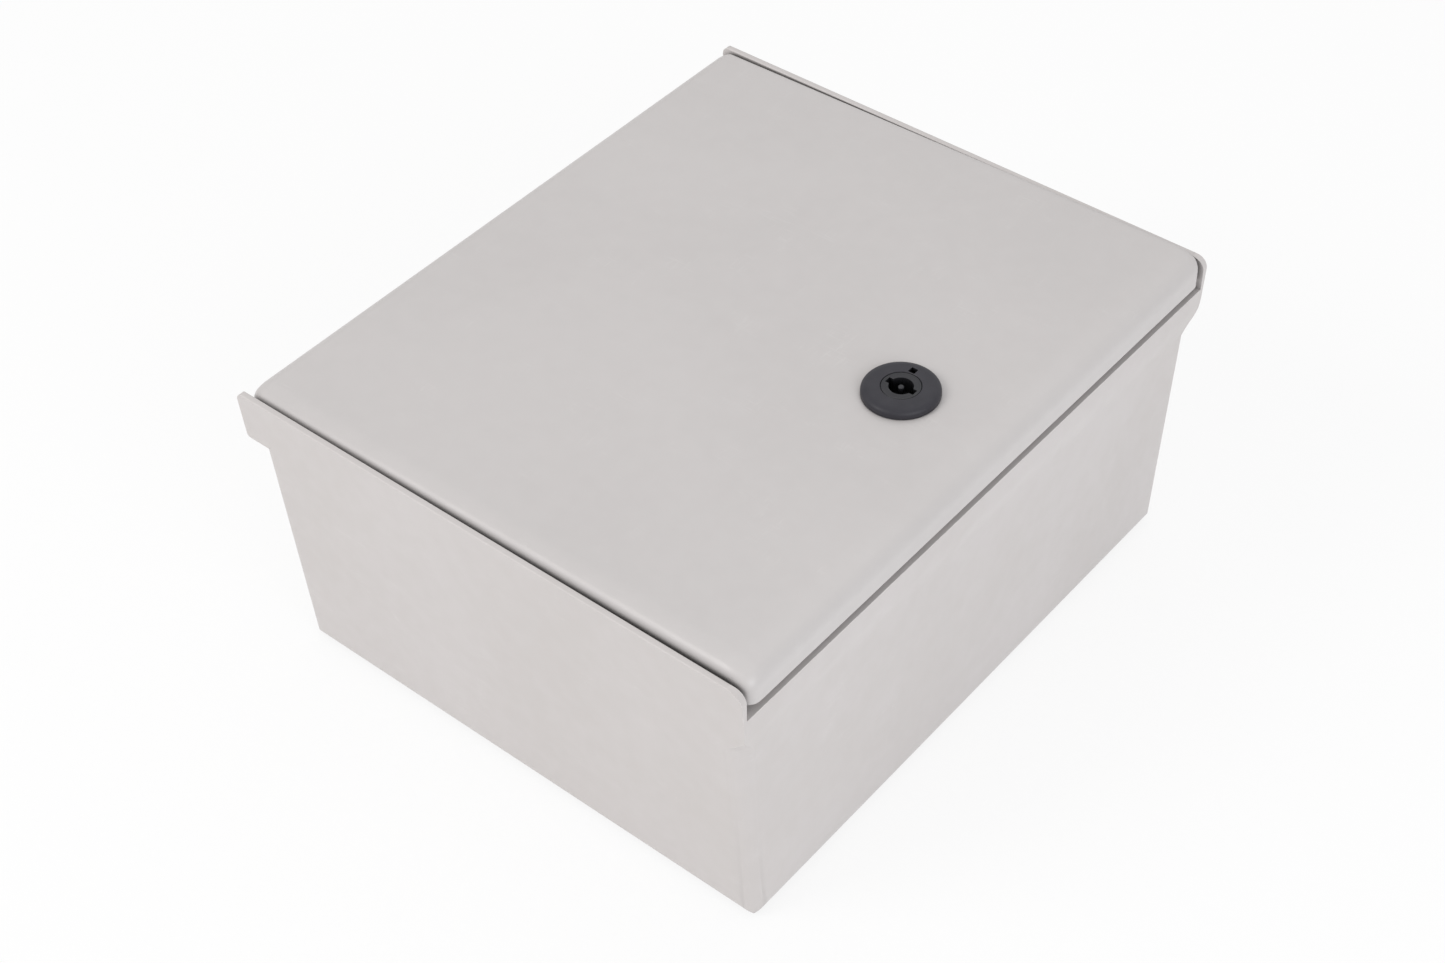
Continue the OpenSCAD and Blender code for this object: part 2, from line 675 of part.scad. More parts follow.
module hinge_clips() color(copper) at_poles() {
    for (s = [-1, 1]) {
        x = s > 0 ? leaf_gap : -leaf_gap - leaf_t;
        along_x(x, x + leaf_t) difference() {
            union() {
                translate([0, shaft_z]) circle(9);
                translate([0, shaft_z - 6]) square([11, 6]);
            }
            translate([0, shaft_z]) circle(shaft_r + 0.5);
        }
    }
    box(-leaf_gap - leaf_t, leaf_gap + leaf_t, 10, 11, shaft_z - 6, shaft_z);
    box(-4, handle_x - 2.8, 10.5, 28.5, shaft_z - 6, shaft_z - 6 + 1.5);
    box(-4, handle_x - 2.8, 27, 28.5, strap_z, shaft_z - 5);
    box(-4, 4, 27, cage_y + cage_l / 2 - 0.5, strap_z, strap_z + strap_t);
}

module terminal_cages() color(zinc) at_poles() for (s = [-1, 1]) translate([0, s * cage_y, 0]) difference() {
    box(-cage_w / 2, cage_w / 2, -cage_l / 2, cage_l / 2, cage_bottom, cage_top);
    box(-4.2, 4.2, -cage_l, cage_l, cage_bottom + 1.5, strap_z + strap_t + 2);
    rod(0, 0, 45, 60, 2.5);
}

module terminal_screws() color(steel) at_poles() for (s = [-1, 1]) translate([0, s * cage_y, 0]) difference() {
    union() {
        rod(0, 0, strap_z + strap_t, 61, 2.45);
        rod(0, 0, 60, 64, 3.1);
    }
    for (a = [0, 90]) rotate(a) box(-2.2, 2.2, -0.5, 0.5, 62, 65);
}

module rail_clip() color(lock_grey) at_switch() difference() {
    union() {
        box(-6.8, 6.8, -46.5, -17.7, plate_top + 3.2, rail_top - rail_t - 0.3);
        along_x(-6.8, 6.8) polygon([[-17.8, plate_top + 3.2], [-16.4, plate_top + 3.2], [-15.6, rail_top - rail_t - 1.2],
                                    [-15.6, rail_top - rail_t - 0.3], [-17.8, rail_top - rail_t - 0.3]]);
    }
    box(-3, 3, -45, -43.6, 0, far);
    // slots that leave two spring arms
    for (s = [-1, 1]) box(s * 4 - 0.8, s * 4 + 0.8, -38, -24, 0, far);
}

// Turns the moving parts of the switch from off at 0 to on
module toggled() translate([0, 0, shaft_z]) rotate([toggle_half - toggle_at, 0, 0]) children();

module switch_shaft() color(lock_grey) at_switch() toggled() {
    along_x(-switch_w / 2 + shell_t + 0.2, switch_w / 2 - shell_t - 0.2) circle(shaft_r);
    for (p = poles) translate([p * pole_w, 0, 0]) {
        box(-blade_t / 2, blade_t / 2, -1, 1, 0, shaft_r + 1);
        box(handle_x - 2.2, handle_x + 2.2, -1, 1, 0, shaft_r + 1);
    }
}

module contact_blades() color(copper) at_poles() toggled() along_x(-blade_t / 2, blade_t / 2) difference() {
    union() {
        circle(9);
        polygon([[-5.5, 0], [5.5, 0], [3.5, -blade_reach + 2], [1.5, -blade_reach], [-1.5, -blade_reach],
                 [-3.5, -blade_reach + 2]]);
    }
    circle(shaft_r + 0.05);
    translate([-1.05, 0]) square([2.1, shaft_r + 1.05]);
}

module toggle_handle() color(lock_grey) at_switch() toggled() {
    for (p = poles) translate([p * pole_w + handle_x, 0, 0]) along_x(-2.2, 2.2) difference() {
        union() {
            intersection() {
                circle(barrel_rad, $fn = 96);
                translate([-far / 2, 0]) square([far, far]);
            }
            circle(9);
            polygon([[-2.5, 0], [2.5, 0], [2.2, 28], [-2.2, 28]]);
        }
        circle(shaft_r + 0.05);
        translate([-1.05, 0]) square([2.1, shaft_r + 1.05]);
    }
    // bar that joins the legs, with finger grooves
    along_x(-1.5 * pole_w + handle_x - 4, 1.5 * pole_w + handle_x + 4) difference() {
        polygon(concat([[-2.9, 24.5], [2.9, 24.5]], arc(1.1, 29.6, 1.4, 0, 90, 4), arc(-1.1, 29.6, 1.4, 90, 180, 4)));
        for (s = [-1, 1], i = [0:2]) translate([s * 3.1, 25.8 + i * 1.4]) circle(0.45, $fn = 16);
    }
}

// ---- Rail accessories ----

module at_stops() for (s = [-1, 1]) translate([switch_x + s * (switch_w / 2 + 5.5), rail_y, 0]) children();

module end_stops() color(housing_grey) at_stops() difference() {
    along_x(-4.5, 4.5) difference() {
        polygon([[-24, plate_top + 2], [24, plate_top + 2], [24, 32], [14, 42], [-14, 42], [-24, 32]]);
        polygon([[-16, 0], [16, 0], [16, rail_top - rail_t - 0.1], [17.7, rail_top - rail_t - 0.1], [17.7, rail_top],
                 [-17.7, rail_top], [-17.7, rail_top - rail_t - 0.1], [-16, rail_top - rail_t - 0.1]]);
    }
    rod(0, 0, rail_top - 1, far, 1.8);
    rod(0, 0, 34, far, 3.6);
    for (s = [-1, 1]) box(-3, 3, s * 20.6 - 1.4, s * 20.6 + 1.4, 0, 28);
}

module end_stop_screws() color(steel) at_stops() translate([0, 0, 34])
    pan_screw(1.7, 34 - plate_top - rail_t, 3.4, 2.4);

// ---- Earth bar ----

module at_earth() translate([0, earth_y, 0]) children();

module earth_bar() color(brass) at_earth() difference() {
    box(-earth_l / 2, earth_l / 2, -earth_h / 2, earth_h / 2, earth_z, earth_z + earth_h);
    for (i = [0:earth_n - 1]) translate([(i - (earth_n - 1) / 2) * earth_pitch, 0, 0]) {
        along_y(-earth_h, earth_h) translate([0, earth_z + 4]) circle(2.65);
        rod(0, 0, earth_z + 4, earth_z + earth_h + 1, 2);
    }
    for (x = [-support_x, support_x]) rod(x, 0, earth_z - 1, earth_z + earth_h + 1, 2.1);
}

module earth_terminal_screws() color(steel) at_earth()
    for (i = [0:earth_n - 1]) translate([(i - (earth_n - 1) / 2) * earth_pitch, 0, earth_z + earth_h + 0.6])
        pan_screw(1.95, 3.4, 3.4, 2.6);

module earth_supports() color(insulator_green) at_earth() for (x = [-support_x, support_x]) translate([x, 0, 0])
    difference() {
        union() {
            box(-6, 6, -6, 6, plate_top, earth_z);
            box(-6, 6, -6, 19, plate_top, plate_top + 4);
            along_x(-1.2, 1.2) polygon([[5, plate_top + 3], [10, plate_top + 3], [5, plate_top + 14]]);
        }
        rod(0, 0, earth_z - 9, earth_z + 1, 2);
        rod(0, 14, plate_top - 1, plate_top + 5, 1.8);
    }

module earth_bar_screws() color(steel) at_earth() for (x = [-support_x, support_x])
    translate([x, 0, earth_z + earth_h]) pan_screw(1.95, earth_h + 8, 3.6, 2.6);

module support_screws() color(steel) at_earth() for (x = [-support_x, support_x])
    translate([x, 14, plate_top + 4]) pan_screw(1.65, 6, 3.4, 2.4);

enclosure_body();
boss_inserts();
mounting_plate();
plate_screws();
din_rail();
rail_screws();
door();
door_gasket();
hinge_pin_lower();
hinge_pin_upper();
lock_housing();
lock_seal();
lock_nut();
lock_insert();
lock_cam();
cam_washer();
cam_screw();
switch_base();
switch_cover();
switch_cover_screws();
fixed_jaws();
hinge_clips();
terminal_cages();
terminal_screws();
rail_clip();
switch_shaft();
contact_blades();
toggle_handle();
end_stops();
end_stop_screws();
earth_bar();
earth_terminal_screws();
earth_supports();
earth_bar_screws();
support_screws();
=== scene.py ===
"""Wall enclosure with a hinged door, a double-bit lock and a rail-mounted switch.

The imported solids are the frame. Each sub-assembly below builds its finished
pieces around them, in the same frame: +Z out of the wall, +X from the hinge
side to the lock side, +Y from the lower end to the upper end. Sizes of pieces
are in millimetres, and those of finishes and of the studio in metres.
"""

import logging
import math
from dataclasses import dataclass
from enum import Enum
from typing import Callable

import bmesh
import bpy
from mathutils import Matrix, Vector


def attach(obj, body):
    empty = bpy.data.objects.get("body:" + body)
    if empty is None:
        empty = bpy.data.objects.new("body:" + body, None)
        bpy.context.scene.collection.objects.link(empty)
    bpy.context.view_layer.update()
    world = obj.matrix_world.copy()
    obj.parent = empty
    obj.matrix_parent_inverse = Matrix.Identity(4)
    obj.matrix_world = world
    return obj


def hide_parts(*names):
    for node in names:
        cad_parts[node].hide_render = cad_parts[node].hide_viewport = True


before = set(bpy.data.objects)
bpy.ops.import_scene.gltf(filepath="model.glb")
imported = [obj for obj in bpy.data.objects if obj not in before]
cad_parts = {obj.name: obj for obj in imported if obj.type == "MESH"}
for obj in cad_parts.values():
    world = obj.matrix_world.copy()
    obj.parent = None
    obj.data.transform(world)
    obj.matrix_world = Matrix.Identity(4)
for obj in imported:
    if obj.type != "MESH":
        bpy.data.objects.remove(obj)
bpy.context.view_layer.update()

LOG = logging.getLogger("enclosure")
MM = 0.001
NODE_GAP = 190
Piece = bpy.types.Object
Socket = bpy.types.NodeSocket
Colour = tuple[float, float, float]
Point = tuple[float, float]
Place = tuple[float, float, float]
Test = Callable[[object], bool]


# ---- Finishes ----


class Effect(Enum):
    """The shared effects, by the name of their node group."""

    MOTTLE = "Mottle"
    SCUFFS = "Scuffs"
    WORN_EDGES = "Worn edges"
    GRAIN = "Grain"
    # Painted shade: ambient occlusion darkens the colour in gaps and recesses.
    CREVICES = "Crevices"


def srgb(*levels: int) -> Colour:
    """Turns an 8-bit display colour into a linear one.

    Args:
        *levels: Red, green and blue, from 0 to 255.

    Returns:
        The linear colour.
    """
    shares = [level / 255 for level in levels]
    return tuple(c / 12.92 if c <= 0.04045 else ((c + 0.055) / 1.055) ** 2.4 for c in shares)


@dataclass(frozen=True)
class Finish:
    """A surface finish: what it is made of, how its maker left it, and the shade and highlight painted on it.
    """

    name: str
    slot: str
    colour: Colour
    drift: Colour
    roughness: float
    metallic: float = 0.0
    mottle_scale: float = 14.0
    mottle_share: float = 0.35
    gloss_spread: float = 0.06
    grain_scale: float = 900.0
    grain_depth: float = 0.00002
    wave_scale: float = 30.0
    wave_share: float = 0.5
    # Edge lightening: real wear, and on the shells also a painted highlight.
    wear_and_highlight_colour: Colour = (0.8, 0.8, 0.8)
    wear_and_highlight_radius: float = 0.0006
    wear_and_highlight_amount: float = 0.3
    scuff_scale: float = 60.0
    scuff_amount: float = 0.15
    scuff_dulling: float = 0.25
    # Painted shade in gaps and recesses: its strength, its reach and how dark it gets.
    gap_shade: float = 0.35
    gap_distance: float = 0.004
    painted_gap_tone: float = 0.12
    coat: float = 0.0
    coat_roughness: float = 0.2
    ior: float = 1.5


class NodePaper:
    """A node tree with short calls for the nodes that the finishes use."""

    def __init__(self, tree: bpy.types.NodeTree) -> None:
        """Takes the tree to write in."""
        self.tree = tree

    @classmethod
    def fresh(cls, owner: bpy.types.ID) -> "NodePaper":
        """Empties the tree of a material or a world.

        Args:
            owner: The material or world.

        Returns:
            Its tree, to write in.
        """
        owner.use_nodes = True
        owner.node_tree.nodes.clear()
        return cls(owner.node_tree)

    def node(self, kind: str, given: dict[str, object] | None = None, **values: object) -> bpy.types.Node:
        """Adds a node.

        Args:
            kind: Its type name.
            given: What its inputs are fed, by their names.
            **values: Its own properties.

        Returns:
            The node.
        """
        made = self.tree.nodes.new(kind)
        made.location.x = NODE_GAP * len(self.tree.nodes)
        for key, value in values.items():
            setattr(made, key, value)
        for key, value in (given or {}).items():
            self.feed(made.inputs[key], value)
        return made

    def feed(self, socket: Socket, value: object) -> None:
        """Links an output to a socket, or writes a plain value in it.

        Args:
            socket: The socket.
            value: The output or value.
        """
        if isinstance(value, Socket):
            self.tree.links.new(value, socket)
        else:
            socket.default_value = value

    def math(self, operation: str, *values: object, clamp: bool = False) -> Socket:
        """Adds a Math node.

        Args:
            operation: Its operation.
            *values: Its inputs, as outputs or numbers.
            clamp: Whether it is held between 0 and 1.

        Returns:
            Its output.
        """
        made = self.node("ShaderNodeMath", operation=operation, use_clamp=clamp)
        for socket, value in zip(made.inputs, values):
            self.feed(socket, value)
        return made.outputs[0]

    def noise(self, vector: Socket, scale: object, detail: float = 3.0, distortion: float = 0.0) -> Socket:
        """Adds a noise from 0 to 1.

        Args:
            vector: Its coordinates.
            scale: Its scale.
            detail: Its number of octaves.
            distortion: Its distortion.

        Returns:
            Its value.
        """
        given = {"Vector": vector, "Scale": scale, "Detail": detail, "Distortion": distortion}
        return self.node("ShaderNodeTexNoise", given).outputs["Fac"]

    def ramp(self, value: Socket, low: float, high: float) -> Socket:
        """Adds a smooth step.

        Args:
            value: What is stepped.
            low: Where it leaves 0.
            high: Where it reaches 1.

        Returns:
            The stepped value.
        """
        given = {"Value": value, "From Min": low, "From Max": high}
        return self.node("ShaderNodeMapRange", given, interpolation_type="SMOOTHSTEP").outputs["Result"]

    def blend(self, share: Socket, first: object, second: object) -> Socket:
        """Adds a colour mix.

        Args:
            share: How much of the second shows.
            first: The first colour.
            second: The second colour.

        Returns:
            The mixed colour.
        """
        made = self.node("ShaderNodeMix", data_type="RGBA")
        self.feed(made.inputs[0], share)
        for socket, value in ((made.inputs[6], first), (made.inputs[7], second)):
            self.feed(socket, (*value, 1.0) if isinstance(value, tuple) else value)
        return made.outputs[2]

    def seen(self) -> Socket:
        """Adds a mask of what the camera, gloss and glass look at directly.

        Returns:
            The mask.
        """
        path = self.node("ShaderNodeLightPath").outputs
        beyond = self.math("MAXIMUM", path["Is Glossy Ray"], path["Is Transmission Ray"])
        return self.math("MAXIMUM", path["Is Camera Ray"], beyond)


class EffectPaper(NodePaper):
    """The nodes of one shared effect's group, which works on its coordinates."""

    def __init__(self, effect: Effect, output: str, numbers: dict[str, float]) -> None:
        """Opens the group with its named sockets.

        Args:
            effect: Which effect.
            output: The name of its output.
            numbers: Its number inputs and their defaults.
        """
        super().__init__(bpy.data.node_groups.new(effect.value, "ShaderNodeTree"))
        sockets = self.tree.interface
        sockets.new_socket("Vector", in_out="INPUT", socket_type="NodeSocketVector")
        for label, default in numbers.items():
            sockets.new_socket(label, in_out="INPUT", socket_type="NodeSocketFloat").default_value = default
        sockets.new_socket(output, in_out="OUTPUT", socket_type="NodeSocketFloat")
        given = self.node("NodeGroupInput").outputs
        self.where, *self.numbers = [given[label] for label in ("Vector", *numbers)]
        self.out = self.node("NodeGroupOutput").inputs[0]

    def product(self, first: Socket, second: Socket, third: Socket) -> Socket:
        """Multiplies three masks."""
        return self.math("MULTIPLY", self.math("MULTIPLY", first, second), third, clamp=True)

    def mottle(self, scale: Socket, share: Socket) -> Socket:
        """Builds soft clouds of tone with finer specks in them.

        Args:
            scale: The clouds' scale.
            share: How much the specks weigh.

        Returns:
            The mottle.
        """
        coarse = self.noise(self.where, scale, detail=2.0, distortion=0.4)
        fine = self.noise(self.where, self.math("MULTIPLY", scale, 14.0), detail=4.0)
        mixed = self.math("MULTIPLY_ADD", self.math("SUBTRACT", fine, coarse), share, coarse)
        return self.ramp(mixed, low=0.28, high=0.72)

    def scuffs(self, scale: Socket, cover: Socket) -> Socket:
        """Builds short hairline rubs that run in two directions.

        Args:
            scale: The rubs' scale.
            cover: How strong they are.

        Returns:
            The mask.
        """
        lines = []
        for stretch, turn in (((1.0, 0.06, 1.0), 0.4), ((0.05, 1.0, 0.8), -0.7)):
            given = {"Vector": self.where, "Rotation": (0.2, 0.1, turn), "Scale": stretch}
            along = self.node("ShaderNodeMapping", given).outputs["Vector"]
            thread = self.noise(along, self.math("MULTIPLY", scale, 8.0), detail=2.0)
            off = self.math("ABSOLUTE", self.math("SUBTRACT", thread, 0.5))
            lines.append(self.math("SUBTRACT", 1.0, self.ramp(off, low=0.0, high=0.022)))
        bare = self.ramp(self.noise(self.where, scale, detail=2.0), low=0.55, high=0.78)
        return self.product(self.math("MAXIMUM", *lines), bare, cover)

    def worn_edges(self, radius: Socket, amount: Socket) -> Socket:
        """Builds a broken mask along the edges, where handling rubs them and where a painted highlight
        lightens them.

        Args:
            radius: How far from an edge it reaches.
            amount: How strong it is.

        Returns:
            The mask.
        """
        soft = self.node("ShaderNodeBevel", {"Radius": radius}, samples=4)
        true = self.node("ShaderNodeNewGeometry")
        alike = self.node("ShaderNodeVectorMath", operation="DOT_PRODUCT")
        for socket, side in zip(alike.inputs, (soft, true)):
            self.feed(socket, side.outputs["Normal"])
        edge = self.ramp(self.math("SUBTRACT", 1.0, alike.outputs["Value"]), low=0.01, high=0.22)
        broken = self.ramp(self.noise(self.where, scale=420.0, detail=4.0), low=0.42, high=0.66)
        return self.product(edge, broken, amount)

    def grain(self, scale: Socket, wave_scale: Socket, share: Socket) -> Socket:
        """Builds the height of a fine grain on long, faint waves.

        Args:
            scale: The grain's scale.
            wave_scale: The waves' scale.
            share: How much the waves weigh.

        Returns:
            The height.
        """
        wave = self.noise(self.where, wave_scale, detail=1.0)
        return self.math("MULTIPLY_ADD", wave, share, self.noise(self.where, scale))

    def crevices(self, amount: Socket, distance: Socket) -> Socket:
        """Builds a mask of painted shade in the narrow gaps and recesses, where light fails.

        Args:
            amount: How strong it is.
            distance: How far the other side of a gap may be.

        Returns:
            The mask.
        """
        # Ambient occlusion drives the painted shade.
        closed = self.node("ShaderNodeAmbientOcclusion", {"Distance": distance}, samples=8)
        deep = self.ramp(self.math("SUBTRACT", 1.0, closed.outputs["AO"]), low=0.3, high=0.85)
        patchy = self.math("MULTIPLY_ADD", self.noise(self.where, scale=90.0), 0.2, 0.9)
        return self.product(deep, patchy, amount)


class EffectGroups:
    """Builds each shared effect once, as a node group with named sockets."""

    PLANS = {
        Effect.MOTTLE: ("Mottle", {"Scale": 14.0, "Fine share": 0.3}, EffectPaper.mottle),
        Effect.SCUFFS: ("Scuff", {"Scale": 60.0, "Cover": 0.5}, EffectPaper.scuffs),
        Effect.WORN_EDGES: ("Wear", {"Radius": 0.0006, "Amount": 0.5}, EffectPaper.worn_edges),
        Effect.GRAIN: ("Height", {"Scale": 900.0, "Wave scale": 30.0, "Wave share": 0.5}, EffectPaper.grain),
        Effect.CREVICES: ("Depth", {"Amount": 0.5, "Distance": 0.004}, EffectPaper.crevices),
    }

    def __init__(self) -> None:
        """Starts with no groups."""
        self.made: dict[Effect, bpy.types.NodeTree] = {}

    def get(self, effect: Effect) -> bpy.types.NodeTree:
        """Gives an effect's group, and builds it the first time.

        Args:
            effect: Which effect.

        Returns:
            Its node group.
        """
        if effect not in self.made:
            output, numbers, build = self.PLANS[effect]
            paper = EffectPaper(effect, output, numbers)
            paper.feed(paper.out, build(paper, *paper.numbers))
            self.made[effect] = paper.tree
        return self.made[effect]


class Finisher:
    """Turns finishes into materials and puts them on pieces."""

    def __init__(self) -> None:
        """Starts with the shared effects and no materials."""
        self.effects = EffectGroups()
        self.made: dict[str, bpy.types.Material] = {}

    def _effect(self, paper: NodePaper, effect: Effect, *given: object) -> Socket:
        """Places an effect in a material.

        Args:
            paper: The material's nodes.
            effect: Which effect.
            *given: Its coordinates and numbers, in the order of its inputs.

        Returns:
            Its output.
        """
        made = paper.node("ShaderNodeGroup", node_tree=self.effects.get(effect), label=effect.value)
        for socket, value in zip(made.inputs, given):
            paper.feed(socket, value)
        return made.outputs[0]

    def material(self, finish: Finish) -> bpy.types.Material:
        """Gives a finish's material, and builds it the first time.

        Args:
            finish: The finish.

        Returns:
            Its material.
        """
        if finish.name in self.made:
            return self.made[finish.name]
        made = self.made[finish.name] = bpy.data.materials.new(finish.name)
        paper, look = NodePaper.fresh(made), finish
        where = paper.node("ShaderNodeTexCoord").outputs["Object"]
        mottle = self._effect(paper, Effect.MOTTLE, where, look.mottle_scale, look.mottle_share)
        wear_and_highlight = self._effect(paper, Effect.WORN_EDGES, where, look.wear_and_highlight_radius, look.wear_and_highlight_amount)
        scuff = self._effect(paper, Effect.SCUFFS, where, look.scuff_scale, look.scuff_amount)
        # Painted shade: the colour darkens in gaps and recesses, as a shadow would.
        painted_gap_shade = self._effect(paper, Effect.CREVICES, where, look.gap_shade, look.gap_distance)
        height = self._effect(paper, Effect.GRAIN, where, look.grain_scale, look.wave_scale, look.wave_share)
        bump = paper.node("ShaderNodeBump", {"Height": height, "Distance": look.grain_depth})
        toned = paper.blend(mottle, look.colour, look.drift)
        # Edges lighten towards the edge colour: wear, and on the shells a painted highlight.
        rubbed_and_highlighted = paper.blend(paper.math("MAXIMUM", wear_and_highlight, scuff), toned, look.wear_and_highlight_colour)
        painted_shade_colour = tuple(look.painted_gap_tone * part for part in look.drift)
        base, swing = look.roughness - look.gloss_spread, 2 * look.gloss_spread
        spread = paper.math("MULTIPLY_ADD", mottle, swing, base)
        given = {
            "Base Color": paper.blend(painted_gap_shade, rubbed_and_highlighted, painted_shade_colour),
            "Roughness": paper.math("MULTIPLY_ADD", scuff, look.scuff_dulling, spread, clamp=True),
            "Normal": bump.outputs["Normal"],
            "Metallic": look.metallic,
            "Coat Weight": look.coat,
            "Coat Roughness": look.coat_roughness,
            "IOR": look.ior,
        }
        shader = paper.node("ShaderNodeBsdfPrincipled", given)
        paper.node("ShaderNodeOutputMaterial", {"Surface": shader.outputs["BSDF"]})
        return made

    def dress(self, piece: Piece, finish: Finish) -> None:
        """Puts one finish all over a piece.

        Args:
            piece: The piece.
            finish: Its finish.
        """
        piece.data.materials.clear()
        piece.data.materials.append(self.material(finish))
        piece.active_material_index = 0

    def dress_node(self, node: str, finish: Finish) -> None:
        """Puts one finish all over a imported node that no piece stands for.

        Args:
            node: The node.
            finish: Its finish.
        """
        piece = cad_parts[node]
        for place in piece.material_slots:
            place.link = "OBJECT"
            place.material = self.material(finish)
        LOG.info("%s keeps its packed shape, in %s", node, finish.name)


SHELL = Finish(
    "moulded polyester", "enclosure_shell", srgb(207, 202, 201), srgb(203, 198, 196), 0.42,
    # The light edge colour is wear and also the painted highlight along the lips' rounded edges.
    mottle_scale=9.0, grain_depth=0.000012, wear_and_highlight_colour=srgb(236, 234, 232), wear_and_highlight_amount=0.75,
    # Strong painted shade in the gaps between door, lips and rim.
    gap_shade=0.85, gap_distance=0.006, coat=0.08,
)
DOOR_SHELL = Finish(
    "moulded polyester door", "door_shell", srgb(205, 201, 200), srgb(201, 197, 196), 0.40,
    mottle_scale=8.0, grain_depth=0.00001, wear_and_highlight_colour=srgb(232, 230, 228), wear_and_highlight_amount=0.5,
    # Strong painted shade in the gaps round the door's ends and sides.
    gap_shade=0.85, gap_distance=0.006, coat=0.14, coat_roughness=0.16,
)
FOAM = Finish(
    "foam seal", "seal_foam", srgb(34, 34, 36), srgb(44, 44, 46), 0.9,
    grain_scale=2600.0, grain_depth=0.00012,
)
STAINLESS = Finish("stainless steel", "stainless", (0.60, 0.60, 0.61), (0.52, 0.52, 0.53), 0.28, 1.0)
ZINC = Finish(
    "zinc-plated steel", "zinc_plate", (0.50, 0.51, 0.53), (0.40, 0.415, 0.44), 0.44, 1.0,
    mottle_scale=55.0, mottle_share=0.6, gloss_spread=0.1, wear_and_highlight_colour=(0.62, 0.63, 0.65),
)
LOCK_BODY = Finish(
    "dark nylon", "lock_body", srgb(56, 55, 61), srgb(48, 47, 53), 0.46,
    grain_scale=1800.0, wear_and_highlight_colour=srgb(96, 96, 100), wear_and_highlight_amount=0.35,
    # Full painted shade, which blackens the index mark's recess.
    gap_shade=1.0, ior=1.36,
)
LOCK_CORE = Finish(
    "die-cast insert", "lock_core", srgb(47, 47, 51), srgb(41, 41, 45), 0.44,
    grain_scale=1500.0, wear_and_highlight_colour=srgb(110, 110, 114), wear_and_highlight_amount=0.3,
    # Full painted shade with a long reach, which blackens the keyhole.
    gap_shade=1.0, gap_distance=0.014, ior=1.4,
)
BRASS = Finish(
    "brass", "brass_plain", (0.72, 0.52, 0.22), (0.62, 0.43, 0.18), 0.30, 1.0, mottle_scale=50.0
)
COPPER = Finish(
    "copper", "copper_plain", (0.83, 0.47, 0.33), (0.66, 0.34, 0.24), 0.32, 1.0, mottle_scale=60.0
)
SWITCH_SHELL = Finish(
    "switch housing", "switch_shell", srgb(214, 214, 211), srgb(209, 209, 206), 0.45, mottle_scale=30.0
)
BLACK = Finish(
    "black moulding", "black_moulding", srgb(38, 38, 41), srgb(33, 33, 36), 0.42, mottle_scale=40.0
)
INK = Finish(
    "marking ink", "black_moulding", srgb(52, 53, 57), srgb(60, 61, 65), 0.6, scuff_amount=0.05
)
GREEN = Finish(
    "green moulding", "green_moulding", srgb(38, 106, 62), srgb(34, 96, 56), 0.45, mottle_scale=40.0
)


# ---- Workbench ----


UPRIGHT = Matrix()
LENGTHWAYS = Matrix.Rotation(-math.pi / 2, 4, "X")
THROUGH = 40.0
NEAR = 0.1
EASE_LIMIT = 38.0
FLAT_LIMIT = 0.6
STEEP_FOLD = 1.0
SAME_POINT = 0.000004


class Element(Enum):
    """What is picked on a mesh, by the name of its list."""

    EDGE = "edges"
    FACE = "faces"


def every(_: object) -> bool:
    """Takes any element."""
    return True


def below(height: float) -> Test:
    """Makes a test that takes what lies wholly below a height."""
    return lambda e: all(v.co.z < height * MM for v in e.verts)


def folds_below(height: float) -> Test:
    """Makes a test that takes the steep folds below a height."""
    return lambda e: below(height)(e) and e.calc_face_angle(0) > STEEP_FOLD


def moved(x: float, y: float, z: float) -> Matrix:
    """Gives the move to a place."""
    return Matrix.Translation((x * MM, y * MM, z * MM))


